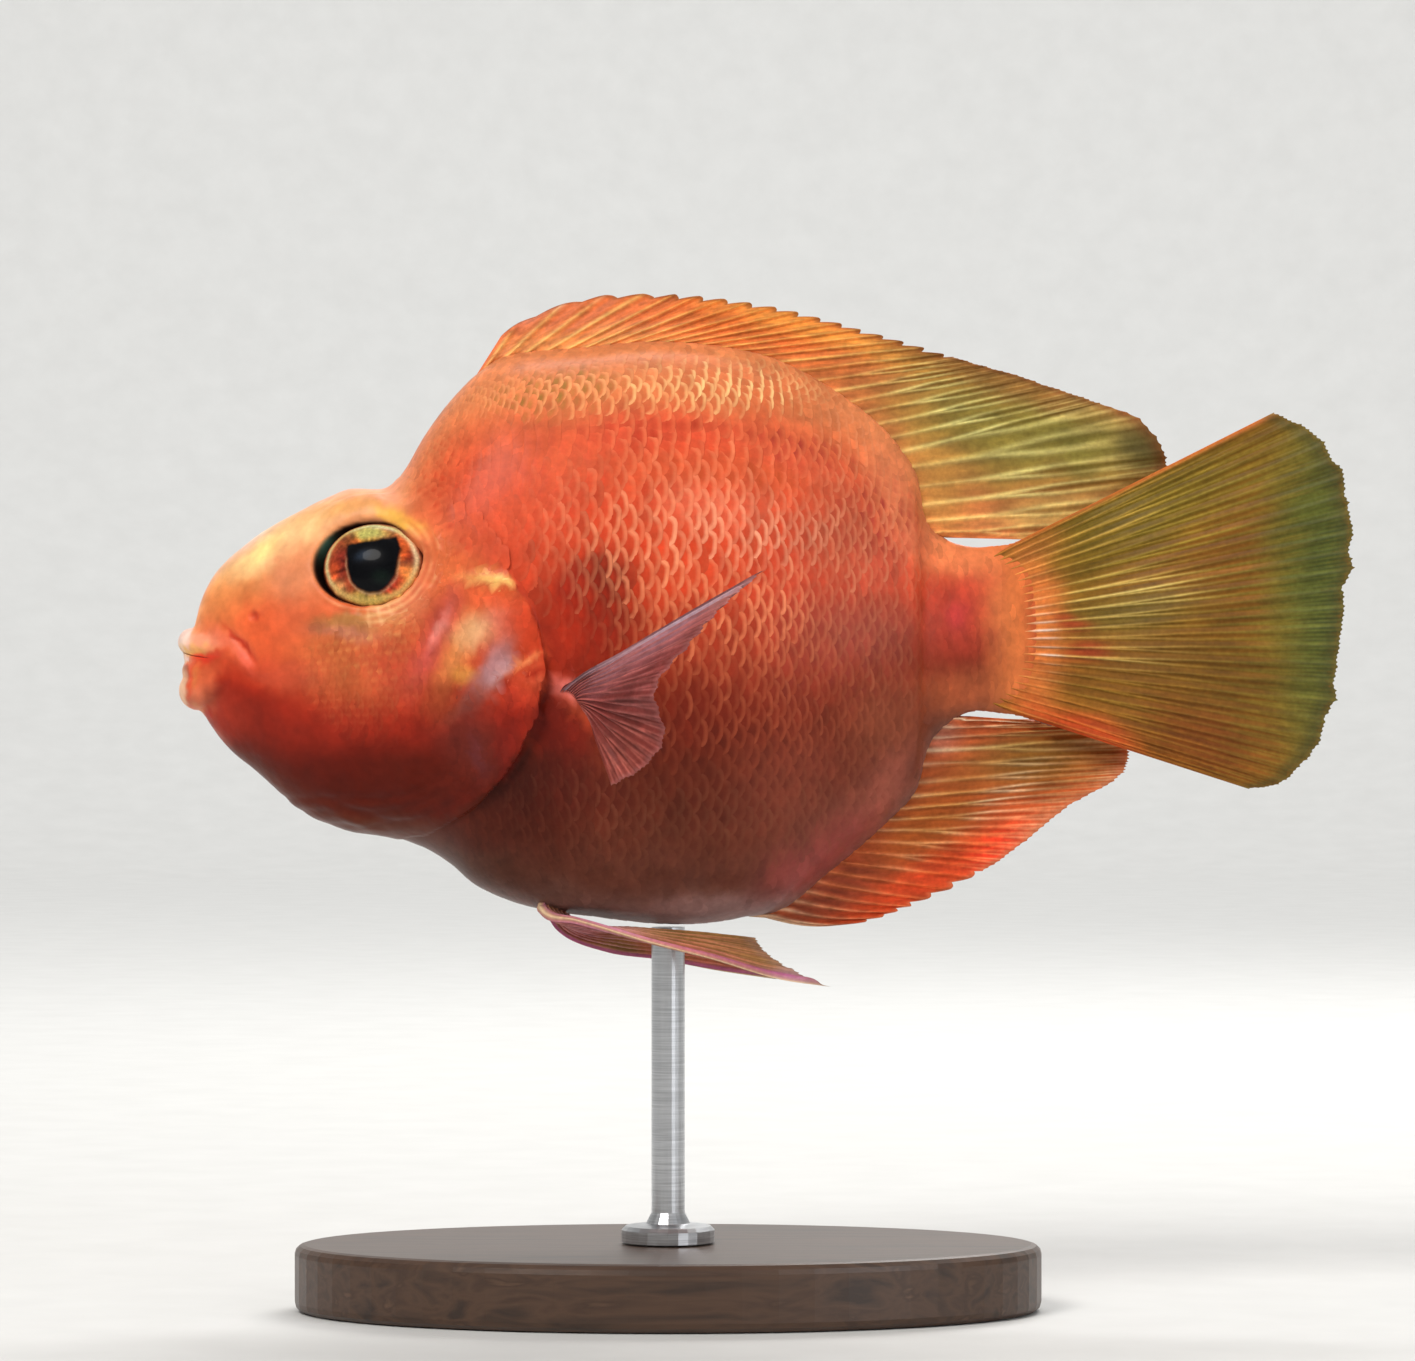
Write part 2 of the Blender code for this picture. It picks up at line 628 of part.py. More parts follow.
def ellipsoid(name, centre, radii, segments, collection, material):
    """Small ellipsoid used to cut or to add a form."""
    bm = bmesh.new()
    bmesh.ops.create_uvsphere(bm, u_segments=segments, v_segments=segments // 2, radius=1.0)
    mesh = bpy.data.meshes.new(name)
    bm.to_mesh(mesh)
    bm.free()
    points = np.array([v.co for v in mesh.vertices]) * np.array(radii) + np.array(centre)
    faces = [tuple(p.vertices) for p in mesh.polygons]
    bpy.data.meshes.remove(mesh)
    return finish_mesh(name, points, faces, collection, material)


def lip(name, half, collection, material):
    """Roll of a lip, from one corner of the mouth round the front to the other."""
    left = np.array(half)[::-1] * np.array([1.0, -1.0, 1.0, 1.0])
    path = np.vstack([left, np.array(half)[1:]])
    track = Track(path)
    points = track.at(np.linspace(0.0, 1.0, LIP_SEGMENTS + 1))
    curve = bpy.data.curves.new(name, "CURVE")
    curve.dimensions = "3D"
    curve.bevel_depth = MM
    curve.bevel_resolution = 3
    curve.use_fill_caps = True
    spline = curve.splines.new("POLY")
    spline.points.add(len(points) - 1)
    for control, point in zip(spline.points, points):
        control.co = (*(point[:3] * MM), 1.0)
        control.radius = point[3]
    guide = bpy.data.objects.new(name + "_guide", curve)
    collection.objects.link(guide)
    bpy.context.view_layer.update()
    graph = bpy.context.evaluated_depsgraph_get()
    mesh = bpy.data.meshes.new_from_object(guide.evaluated_get(graph))
    bpy.data.objects.remove(guide, do_unlink=True)
    bm = bmesh.new()
    bm.from_mesh(mesh)
    bmesh.ops.remove_doubles(bm, verts=bm.verts, dist=1e-6)
    bmesh.ops.recalc_face_normals(bm, faces=bm.faces)
    bm.to_mesh(mesh)
    bm.free()
    mesh.materials.clear()
    mesh.materials.append(material)
    obj = bpy.data.objects.new(name, mesh)
    collection.objects.link(obj)
    return obj


def keep_largest(mesh):
    """Leave only the largest closed surface of a mesh."""
    bm = bmesh.new()
    bm.from_mesh(mesh)
    bm.faces.ensure_lookup_table()
    seen = set()
    groups = []
    for face in bm.faces:
        if face.index in seen:
            continue
        group = []
        stack = [face]
        seen.add(face.index)
        while stack:
            current = stack.pop()
            group.append(current)
            for edge in current.edges:
                for other in edge.link_faces:
                    if other.index not in seen:
                        seen.add(other.index)
                        stack.append(other)
        groups.append(group)
    groups.sort(key=len, reverse=True)
    loose = [face for group in groups[1:] for face in group]
    bmesh.ops.delete(bm, geom=loose, context="FACES")
    bm.to_mesh(mesh)
    bm.free()


def boolean(obj, operation, helpers):
    """Join or cut an object with every object of a collection, and apply it."""
    step = obj.modifiers.new(operation.lower(), "BOOLEAN")
    step.operation = operation
    step.operand_type = "COLLECTION"
    step.collection = helpers
    step.solver = "EXACT"
    bpy.context.view_layer.update()
    graph = bpy.context.evaluated_depsgraph_get()
    mesh = bpy.data.meshes.new_from_object(obj.evaluated_get(graph))
    obj.modifiers.clear()
    obj.data = mesh
    keep_largest(mesh)
    mesh.shade_smooth()
    mesh.set_sharp_from_angle(angle=math.radians(50))
    for helper in list(helpers.objects):
        bpy.data.objects.remove(helper, do_unlink=True)


def build_body(fish, helpers, skin, deep):
    """Head with its mouth, nostrils and sockets, torso and tail base."""
    turn = ring_turns(RING_POINTS)
    nose = np.full_like(turn, 0.006)
    gill_front = cut_share(turn, gill_side, 0.0)
    gill_back = cut_share(turn, gill_side, GAP)
    tail_front = cut_share(turn, tail_side, 0.0)
    tail_back = cut_share(turn, tail_side, GAP)
    last = np.ones_like(turn)
    head = loft_body("head", nose, gill_front, HEAD_RINGS, True, head_relief, fish, skin)
    loft_body("torso", gill_back, tail_front, TORSO_RINGS, False, None, fish, skin)
    loft_body("tail_base", tail_back, last, TAIL_RINGS, False, None, fish, skin)

    lip("upper_lip", UPPER_LIP, helpers, deep)
    lip("lip_edge", LIP_EDGE, helpers, deep)
    lip("lower_lip", LOWER_LIP, helpers, deep)
    boolean(head, "UNION", helpers)

    ellipsoid("mouth", MOUTH_SLIT, MOUTH_RADII, 16, helpers, deep)
    for side in (1.0, -1.0):
        point, _ = off_skin(*NOSTRIL, 0.0)
        centre = point * np.array([1.0, side, 1.0])
        ellipsoid("nostril", centre, NOSTRIL_RADII, 10, helpers, deep)
        eye_ball("socket", side, GAP, helpers, deep)
    boolean(head, "DIFFERENCE", helpers)


def build_stand(fish, wood, metal):
    """Oval base and a turned rod up to the belly."""
    bpy.ops.mesh.primitive_cylinder_add(vertices=64, radius=0.5 * MM, depth=BASE_HEIGHT * MM,
                                        location=(0.0, 0.0, 0.0))
    base = bpy.context.active_object
    base.name = "stand_base"
    base.data.name = "stand_base"
    for vertex in base.data.vertices:
        vertex.co.x = vertex.co.x * BASE_LENGTH + BASE_X * MM
        vertex.co.y *= BASE_WIDTH
        vertex.co.z += 0.5 * BASE_HEIGHT * MM
    move_to(base, fish)
    base.data.materials.append(wood)
    edge = base.modifiers.new("edge", "BEVEL")
    edge.width = BASE_EDGE * MM
    edge.segments = 3
    edge.limit_method = "ANGLE"
    edge.angle_limit = math.radians(60)
    base.data.shade_smooth()
    base.data.set_sharp_from_angle(angle=math.radians(40))

    belly = body_point(line_share(ROD_X, 2), math.pi)[2]
    low = BASE_HEIGHT + GAP
    high = belly - GAP
    profile = [(0.0, high), (ROD_RADIUS, high), (ROD_RADIUS, low + ROD_FOOT_HEIGHT + 2.0),
               (ROD_RADIUS + 0.8, low + ROD_FOOT_HEIGHT + 0.4),
               (ROD_FOOT_RADIUS - 0.6, low + ROD_FOOT_HEIGHT),
               (ROD_FOOT_RADIUS, low + ROD_FOOT_HEIGHT - 0.6),
               (ROD_FOOT_RADIUS, low), (0.0, low)]
    mesh = bpy.data.meshes.new("stand_rod")
    mesh.from_pydata([(r * MM, 0.0, z * MM) for r, z in profile],
                     [(k, k + 1) for k in range(len(profile) - 1)], [])
    mesh.materials.append(metal)
    rod = bpy.data.objects.new("stand_rod", mesh)
    rod.location = (ROD_X * MM, 0.0, 0.0)
    fish.objects.link(rod)
    turned = rod.modifiers.new("turned", "SCREW")
    turned.steps = 28
    turned.render_steps = 28
    turned.use_merge_vertices = True
    turned.merge_threshold = 0.0001
    turned.use_smooth_shade = True


def move_to(obj, collection):
    """Leave an object in one collection only."""
    for old in list(obj.users_collection):
        old.objects.unlink(obj)
    collection.objects.link(obj)


def main():
    """Build every node of the model."""
    clear_scene()
    fish = make_collection("blood_parrot_cichlid")
    helpers = make_collection("helpers")
    skin = make_material("skin", SKIN_ORANGE, 0.35)
    deep = make_material("mouth", SKIN_DEEP, 0.4)
    build_body(fish, helpers, skin, deep)
    eye = make_material("eye", EYE_COLOUR, 0.08)
    eye_ball("eye_left", 1.0, 0.0, fish, eye)
    eye_ball("eye_right", -1.0, 0.0, fish, eye)
    orange = make_material("fin_orange", FIN_ORANGE, 0.4)
    olive = make_material("fin_olive", FIN_OLIVE, 0.4)
    pink = make_material("fin_pink", FIN_PINK, 0.4)
    dorsal_fin(fish, orange)
    anal_fin(fish, orange)
    caudal_fin(fish, olive)
    pectoral_fin(1.0, "pectoral_fin_left", fish, pink)
    pectoral_fin(-1.0, "pectoral_fin_right", fish, pink)
    pelvic_fin(1.0, "pelvic_fin_left", PELVIC_LEFT, PELVIC_LEFT_INNER, fish, pink)
    pelvic_fin(-1.0, "pelvic_fin_right", PELVIC_RIGHT, PELVIC_RIGHT_INNER, fish, pink)
    wood = make_material("base", BASE_COLOUR, 0.35)
    metal = make_material("rod", ROD_COLOUR, 0.3, 1.0)
    build_stand(fish, wood, metal)


main()
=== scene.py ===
import math

import bmesh
import bpy
import numpy as np
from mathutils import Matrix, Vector


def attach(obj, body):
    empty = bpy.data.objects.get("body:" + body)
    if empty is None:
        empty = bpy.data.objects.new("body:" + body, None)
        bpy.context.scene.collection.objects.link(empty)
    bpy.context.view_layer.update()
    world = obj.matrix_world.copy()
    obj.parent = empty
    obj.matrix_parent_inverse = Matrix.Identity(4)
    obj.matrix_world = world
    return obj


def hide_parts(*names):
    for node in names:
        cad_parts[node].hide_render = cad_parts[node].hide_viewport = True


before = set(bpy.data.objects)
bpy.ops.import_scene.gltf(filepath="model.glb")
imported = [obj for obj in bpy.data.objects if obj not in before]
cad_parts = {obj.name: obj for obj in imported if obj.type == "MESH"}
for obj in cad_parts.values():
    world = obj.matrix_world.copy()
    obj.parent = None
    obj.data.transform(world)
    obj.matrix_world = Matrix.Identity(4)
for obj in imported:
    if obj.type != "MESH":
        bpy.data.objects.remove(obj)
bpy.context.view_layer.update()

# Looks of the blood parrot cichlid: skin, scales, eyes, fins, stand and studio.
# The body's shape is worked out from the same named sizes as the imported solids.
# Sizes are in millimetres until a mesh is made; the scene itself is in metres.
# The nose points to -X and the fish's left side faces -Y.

MM = 0.001
RANDOM_SEED = 41

# Body outline, as the solids have it: back x, back z, belly x, belly z, half width.
STATIONS = [
    (-85.2, 101.6, -84.9, 91.0, 3.7),
    (-84.2, 105.9, -83.0, 88.2, 5.6),
    (-82.2, 110.1, -80.6, 84.9, 7.5),
    (-76.7, 115.4, -75.6, 80.6, 10.7),
    (-69.2, 119.9, -69.0, 74.9, 13.7),
    (-61.6, 123.1, -61.6, 71.7, 16.0),
    (-56.2, 123.4, -55.8, 70.8, 17.4),
    (-53.9, 125.7, -51.4, 69.4, 18.3),
    (-50.5, 131.4, -47.0, 66.9, 19.4),
    (-46.4, 136.8, -43.1, 63.6, 20.3),
    (-41.8, 141.2, -38.5, 61.4, 21.1),
    (-26.8, 144.1, -25.2, 58.8, 22.4),
    (-6.8, 144.4, -7.0, 58.0, 20.9),
    (2.5, 142.2, 2.2, 59.8, 18.6),
    (11.8, 137.0, 10.0, 65.7, 15.0),
    (19.6, 130.3, 18.7, 73.2, 10.9),
    (22.6, 126.0, 22.6, 77.2, 9.0),
    (25.2, 117.2, 26.1, 86.3, 6.6),
    (28.3, 115.1, 29.8, 89.0, 5.6),
    (36.0, 115.0, 36.0, 89.2, 2.3),
    (43.5, 118.0, 43.5, 87.0, 0.4),
]
TAIL_X = 36.0
TAIL_TOP = 115.0
TAIL_FOOT = 89.2
SNOUT = (-85.7, 96.4)
POWER_X = (-86.0, -60.0, -40.0, -5.0, 25.0, 36.0)
POWER_OVER = (2.3, 2.35, 2.0, 1.75, 1.8, 2.1)
POWER_UNDER = (2.2, 2.15, 2.1, 2.15, 1.8, 2.1)
WIDEST = (0.50, 0.53, 0.52, 0.49, 0.49, 0.50)

# Rear edge of the gill cover and the cheek plate, arcs about a centre on the cheek.
GILL_X = -58.0
GILL_Z = 98.0
GILL_REACH = 26.5
GILL_HEIGHT = 28.0
GILL_POWER_OVER = 1.5
GILL_POWER_UNDER = 2.0
GILL_LIFT = 0.8
GILL_RAYS = (2.6, 4.6, 6.4)
GILL_RAY_DEPTH = 0.16
CHEEK_REACH = 12.5
CHEEK_HEIGHT = 19.0
CHEEK_LIFT = 0.45

# Mouth, nostrils and eyes.
UPPER_LIP = [(-85.4, 0.0, 100.2, 2.1), (-84.0, 3.9, 100.1, 1.9),
             (-80.3, 6.9, 99.2, 1.5), (-75.7, 9.6, 96.4, 1.1)]
LIP_EDGE = [(-84.8, 0.0, 95.8, 2.1), (-83.4, 3.7, 95.8, 1.95),
            (-80.2, 6.5, 96.5, 1.3)]
LOWER_LIP = [(-84.4, 0.0, 92.9, 3.0), (-83.0, 3.7, 93.2, 2.6),
             (-79.9, 6.4, 94.4, 1.8), (-77.0, 8.5, 95.0, 1.1)]
MOUTH_FLOOR = [(-85.2, 0.0, 98.1, 1.5), (-83.7, 3.9, 98.1, 1.3), (-80.8, 6.4, 98.0, 0.9)]
MOUTH_SLIT = (-83.8, 0.0, 98.8)
MOUTH_RADII = (3.6, 7.6, 0.11)
MOUTH_DROOP = 0.16
NOSTRIL = (-75.3, 104.0)
NOSTRIL_RADIUS = 0.62
EYE = (-58.8, 112.4)
EYE_DEPTH = 4.6
EYE_PROUD = 2.2
EYE_TURN = (-0.22, -0.93, 0.28)
ORBIT_SINK = 0.4
ORBIT_FLAT = 7.0
ORBIT_FADE = 12.0

# Opening of the socket and the ball in it, measured in the plane the eye looks
# out of: rightwards and upwards offsets from the orbit's centre, and radii.
SOCKET_PLACE = (0.35, -0.45)
SOCKET_RADII = (8.5, 6.75)
SOCKET_DEPTH = 3.6
BALL_PLACE = (1.25, -0.75)
BALL_RADII = (8.0, 6.75)

# Skin.
COAT_DEPTH = 0.3
HEAD_INSET = 0.1
VOXEL = 0.3
THIN_BEHIND = 0.1
THIN_SHARE = 0.48
HEAD_RINGS = 230
TORSO_RINGS = 150
SIDE_POINTS = 121
SNOUT_PROUD = 0.25
NOSE_SHARE = 0.006
TORSO_TUCK = 0.05
GILL_FRAY = 0.22

# Folds of the head seen from the side: name, points, width, height over the skin.
FOLDS = [
    ("maxilla crease", [(-79.6, 102), (-77.8, 100.2), (-76, 98), (-74.8, 96.6)], 0.55, -0.6),
    ("over maxilla", [(-78.8, 103.6), (-76.6, 101.8), (-74.6, 99.2)], 1.2, 0.18),
    ("corner groove", [(-78.2, 95.9), (-75.6, 94.4), (-73.2, 93.9)], 0.6, -0.3),
    ("corner fold", [(-75, 96), (-73, 95.5), (-70.8, 96.8), (-68.4, 98.2)], 0.7, 0.2),
    ("lip shadow", [(-83.6, 89.3), (-81.9, 90.7), (-80.4, 92.4), (-79.4, 94.4)], 0.8, -0.16),
    ("jaw line", [(-72, 95.2), (-71.7, 91.5), (-70.2, 87)], 0.8, 0.14),
    ("opercle ridge", [(-43.4, 109.6), (-40, 109.4), (-36, 108.7), (-32.6, 107.6)], 0.85, 0.5),
    ("opercle hollow", [(-43, 107.6), (-38, 107), (-33.4, 106)], 0.8, -0.22),
    ("throat fold", [(-64.5, 75.4), (-60.5, 73.4), (-56.4, 71.6)], 0.7, 0.35),
    ("throat groove", [(-65.5, 77), (-60.5, 75), (-55, 73.4), (-50, 73.6)], 0.6, -0.25),
    ("brow", [(-66.4, 117.6), (-61.5, 121.4), (-55, 120.8), (-50.6, 117)], 1.5, 0.4),
    ("preopercle groove", [(-44.6, 108), (-43.2, 101.5), (-43.9, 95), (-47.2, 87.4)], 0.7, -0.3),
    ("flap fold", [(-34.6, 98.6), (-33.2, 95.6), (-34.2, 92), (-36, 89)], 0.8, 0.3),
    ("flap streak", [(-38, 95), (-35.4, 96.6), (-32.6, 98.8)], 0.5, 0.22),
    ("flap streak low", [(-37.6, 92.4), (-35.2, 93.4), (-32.8, 94.6)], 0.5, 0.2),
    ("flap groove", [(-36.2, 97.5), (-35.6, 93.5), (-37.6, 88.5)], 0.7, -0.25),
]

# Rings of skin round the eye: radius as a share of the socket, height, first and
# last bearing in degrees, counted from the rear and over the top.
EYE_FOLDS = [(1.07, 0.24, -150.0, 60.0), (1.22, 0.26, -120.0, 45.0), (1.37, 0.2, -100.0, 35.0),
             (1.52, 0.15, -80.0, 25.0)]
EYE_FOLD_FADE = 30.0

# Soft forms of the torso: centre, half sizes, height and power.
FIN_HOLLOW = (-29.5, 86.5, 3.4, 5.0, -0.7, 1.3)
FIN_KNOB = (-27.6, 92.4, 1.7, 2.6, 0.9, 1.4)
VENT = (-2.6, 0.0, 1.1, 1.6, -0.6, 1.0)

# Layers of fine unevenness and of drifting colour: amount, size and seed.
HEAD_GRAIN = [(0.05, 2.6, 3), (0.03, 1.1, 4)]
TORSO_GRAIN = [(0.1, 9.0, 5)]
SKIN_GRAIN = [(0.02, 0.8, 21), (0.03, 2.0, 22)]
COLOUR_DRIFT = [(0.9, 7.0, 11), (0.4, 2.2, 12), (0.4, 0.9, 18)]
COLOUR_SWAY = [(0.9, 7.0, 13), (0.4, 2.2, 14), (0.4, 0.9, 19)]
HALVINGS = 40


class Track:
    """A smooth curve through a few points, read by its share of the length."""

    def __init__(self, points, knots=None):
        self.points = np.array(points, float)
        if knots is None:
            steps = np.linalg.norm(np.diff(self.points, axis=0), axis=1)
            knots = np.concatenate([[0.0], np.cumsum(steps)]) / steps.sum()
        self.knots = knots
        step = np.diff(knots)[:, None]
        slope = np.diff(self.points, axis=0) / step
        middle = (slope[:-1] * step[1:] + slope[1:] * step[:-1]) / (step[1:] + step[:-1])
        self.slopes = np.vstack([slope[:1], middle, slope[-1:]])

    def at(self, share):
        """Points at the given shares, as rows."""
        share = np.atleast_1d(np.asarray(share, float))
        index = np.clip(np.searchsorted(self.knots, share) - 1, 0, len(self.knots) - 2)
        width = (self.knots[index + 1] - self.knots[index])[:, None]
        s = (share[:, None] - self.knots[index][:, None]) / width
        p0, p1 = self.points[index], self.points[index + 1]
        m0, m1 = self.slopes[index] * width, self.slopes[index + 1] * width
        return ((2 * s**3 - 3 * s**2 + 1) * p0 + (s**3 - 2 * s**2 + s) * m0
                + (3 * s**2 - 2 * s**3) * p1 + (s**3 - s**2) * m1)


def body_track():
    """The stations as one track, spaced by the lengths of both outlines."""
    point = 0.01
    table = np.array([(SNOUT[0], SNOUT[1] + point, SNOUT[0], SNOUT[1] - point, point)] + STATIONS)
    back = np.linalg.norm(np.diff(table[:, 0:2], axis=0), axis=1)
    belly = np.linalg.norm(np.diff(table[:, 2:4], axis=0), axis=1)
    steps = 0.5 * (back + belly)
    knots = np.concatenate([[0.0], np.cumsum(steps)]) / steps.sum()
    return Track(table, knots)


BODY = body_track()
BODY_ROWS = BODY.at(np.linspace(0.0, 1.0, 2001))


def smooth_step(value, start, end):
    """Zero at start, one at end, smooth between."""
    s = np.clip((value - start) / (end - start), 0.0, 1.0)
    return s * s * (3.0 - 2.0 * s)


def unit(vector):
    """Vectors at length one."""
    return vector / np.maximum(np.linalg.norm(vector, axis=-1, keepdims=True), 1e-9)


def left_side(point):
    """The matching places on the left flank of places on either flank."""
    return np.stack([point[..., 0], -np.abs(point[..., 1]), point[..., 2]], axis=-1)


def halve(inside, low, high):
    """Where a test that holds from the low end stops holding, by halving the gap."""
    for _ in range(HALVINGS):
        middle = 0.5 * (low + high)
        holds = inside(middle)
        low = np.where(holds, middle, low)
        high = np.where(holds, high, middle)
    return low, high


def body_point(u, turn):
    """Point of the bare body at share u of its length.

    turn runs from 0 at the back to pi at the belly on the left flank; below 0,
    or past pi, is the other flank.
    """
    u, turn = np.broadcast_arrays(np.asarray(u, float), np.asarray(turn, float))
    turn = np.where(turn > math.pi, turn - 2.0 * math.pi, turn)
    row = BODY.at(u.ravel()).reshape(u.shape + (5,))
    x = 0.5 * (row[..., 0] + row[..., 2])
    over = np.interp(x, POWER_X, POWER_OVER)
    under = np.interp(x, POWER_X, POWER_UNDER)
    level = np.interp(x, POWER_X, WIDEST)[..., None]
    back, belly = row[..., 0:2], row[..., 2:4]
    centre = belly + level * (back - belly)
    up = np.cos(turn)
    power = 2.0 / np.where(up >= 0.0, over, under)
    reach = (np.abs(up) ** power)[..., None]
    side = np.where((up >= 0.0)[..., None], back, belly)
    flat = centre + (side - centre) * reach
    y = -np.sign(turn) * row[..., 4] * np.abs(np.sin(turn)) ** power
    return np.stack([flat[..., 0], y, flat[..., 1]], axis=-1)


def body_normal(u, turn):
    """Outward direction of the bare body."""
    du = body_point(np.minimum(u + 2e-3, 1.0), turn) - body_point(np.maximum(u - 2e-3, 0.0), turn)
    dt = body_point(u, turn + 0.02) - body_point(u, turn - 0.02)
    return unit(np.cross(dt, du))


def skin_at(x, z):
    """Share, turn and point of the left flank seen at x, z from the side."""
    grid = np.linspace(0.0, 1.0, 1201)
    row = BODY.at(grid)
    share = (z - row[:, 3]) / (row[:, 1] - row[:, 3])
    u = float(np.interp(0.0, row[:, 2] + share * (row[:, 0] - row[:, 2]) - x, grid))
    turn = float(halve(lambda t: body_point(u, t)[2] > z, 0.0, math.pi)[0])
    return u, turn, body_point(u, turn)


def orbit():
    """Centre of the left orbit on the skin, its outward axis, rear and up directions."""
    axis = unit(np.array(EYE_TURN))
    _, _, surface = skin_at(*EYE)
    rear = unit(np.cross((0.0, 0.0, 1.0), axis))
    up = np.cross(axis, rear)
    return surface, axis, rear, up


ORBIT = orbit()


def tail_swing(point):
    """Points swung a little to the fish's left towards the end of the tail."""
    share = np.clip((point[..., 0] - TAIL_X) / (CAUDAL_END - TAIL_X), 0.0, 1.0)
    side = np.zeros_like(point)
    side[..., 1] = -CAUDAL_SWING * share**1.15
    return point + side


def arc_measure(x, z, reach, height, grow=0.0):
    """One on an arc about the gill centre, less inside it."""
    power = np.where(z >= GILL_Z, GILL_POWER_OVER, GILL_POWER_UNDER)
    along = np.clip(x - GILL_X, 0.0, None) / (reach + grow)
    across = np.abs(z - GILL_Z) / (height + grow)
    return (along**power + across**power) ** (1.0 / power)


def gill_side(point, grow):
    """Below zero in front of the gill edge, above zero behind it."""
    return arc_measure(point[..., 0], point[..., 2], GILL_REACH, GILL_HEIGHT, grow) - 1.0


def cut_share(turn, side, grow):
    """Share of the body length where a cut crosses each line of the body."""
    low, high = halve(lambda u: ~(side(body_point(u, turn), grow) > 0.0),
                      np.zeros_like(turn), np.ones_like(turn))
    return 0.5 * (low + high)


def line_share(x, column):
    """Share of the body length where an outline column reaches x."""
    grid = np.linspace(0.0, 1.0, 2001)
    return float(np.interp(x, BODY.at(grid)[:, column], grid))


NOISE_TABLE = np.random.default_rng(RANDOM_SEED).random(4096)


def noise(point, size, seed=0):
    """Smooth noise from -1 to 1, with bumps about size millimetres wide."""
    q = point / size + 1000.0
    base = np.floor(q).astype(np.int64)
    f = q - base
    f = f * f * (3.0 - 2.0 * f)
    total = 0.0
    for corner in range(8):
        step = (corner & 1, corner >> 1 & 1, corner >> 2 & 1)
        key = np.zeros(base.shape[:-1], np.int64) + seed * 7919
        weight = 1.0
        for k, prime in enumerate((73856093, 19349663, 83492791)):
            key = key ^ (base[..., k] + step[k]) * prime
            weight = weight * (f[..., k] if step[k] else 1.0 - f[..., k])
        total = total + weight * NOISE_TABLE[key & 4095]
    return 2.0 * total - 1.0


def layered(point, layers):
    """Sum of noises, each given by its amount, size and seed."""
    return sum(amount * noise(point, size, seed) for amount, size, seed in layers)


def mound(across, up, form):
    """A soft rise or hollow: centre, half sizes, height and power of its fall."""
    x, z, half_across, half_up, height, power = form
    away = ((across - x) / half_across) ** 2 + ((up - z) / half_up) ** 2
    return height * np.exp(-away**power)


def behind_gill(x, z):
    """Millimetres behind the edge of the gill cover, below zero in front of it."""
    return (arc_measure(x, z, GILL_REACH, GILL_HEIGHT) - 1.0) * GILL_REACH


def line_distance(x, z, line):
    """Distance in the side view from a line through a few points, and its share."""
    best = np.full(np.shape(x), 1e9)
    share = np.zeros(np.shape(x))
    count = len(line) - 1
    for k in range(count):
        (x0, z0), (x1, z1) = line[k], line[k + 1]
        dx, dz = x1 - x0, z1 - z0
        t = np.clip(((x - x0) * dx + (z - z0) * dz) / (dx * dx + dz * dz), 0.0, 1.0)
        away = np.hypot(x - x0 - t * dx, z - z0 - t * dz)
        near = away < best
        best = np.where(near, away, best)
        share = np.where(near, (k + t) / count, share)
    return best, share


def fold_lift(x, z):
    """Creases and folds of the head."""
    lift = np.zeros(np.shape(x))
    for _, line, width, height in FOLDS:
        away, share = line_distance(x, z, line)
        fade = np.sin(math.pi * np.clip(share * 0.9 + 0.05, 0.0, 1.0)) ** 0.6
        lift += height * fade * np.exp(-(away / width) ** 2)
    return lift


def orbit_place(point):
    """Rearward, upward and outward offsets of left flank points from the orbit."""
    centre, axis, rear, up = ORBIT
    offset = point - centre
    return offset @ rear, offset @ up, offset @ axis


def socket_polar(rear, up):
    """Distance from the socket's centre, 1 at its rim, and bearing in degrees."""
    across, above = rear - SOCKET_PLACE[0], up - SOCKET_PLACE[1]
    return np.hypot(across / SOCKET_RADII[0], above / SOCKET_RADII[1]), np.degrees(np.arctan2(above, across))


def eye_fold_span(bearing, first, last):
    """One along a ring of skin round the eye, fading out at both its ends."""
    return (smooth_step(bearing, first, first + EYE_FOLD_FADE)
            * (1.0 - smooth_step(bearing, last - EYE_FOLD_FADE, last)))


def orbit_lift(point):
    """Flat round the eye, the socket and the rings of skin round it."""
    rear, up, height = orbit_place(point)
    away = np.hypot(rear, up)
    flat = 1.0 - smooth_step(away, ORBIT_FLAT, ORBIT_FADE)
    lift = -(height + ORBIT_SINK) * flat
    r, bearing = socket_polar(rear, up)
    for share, rise_by, first, last in EYE_FOLDS:
        inside = eye_fold_span(bearing, first, last)
        lift += rise_by * inside * np.exp(-((r - share) / 0.05) ** 2)
        lift -= 0.5 * rise_by * inside * np.exp(-((r - share - 0.065) / 0.04) ** 2)
    near = away < ORBIT_FADE + 4.0
    return lift - np.where(near, SOCKET_DEPTH * (1.0 - smooth_step(r, 0.88, 0.99)), 0.0)


def nostril_lift(point):
    """Pit of the nostril with a soft rim."""
    away = np.hypot(point[..., 0] - NOSTRIL[0], point[..., 2] - NOSTRIL[1]) / NOSTRIL_RADIUS
    return -0.6 * np.exp(-(away / 0.9) ** 4) + 0.2 * np.exp(-((away - 1.7) / 0.5) ** 2)


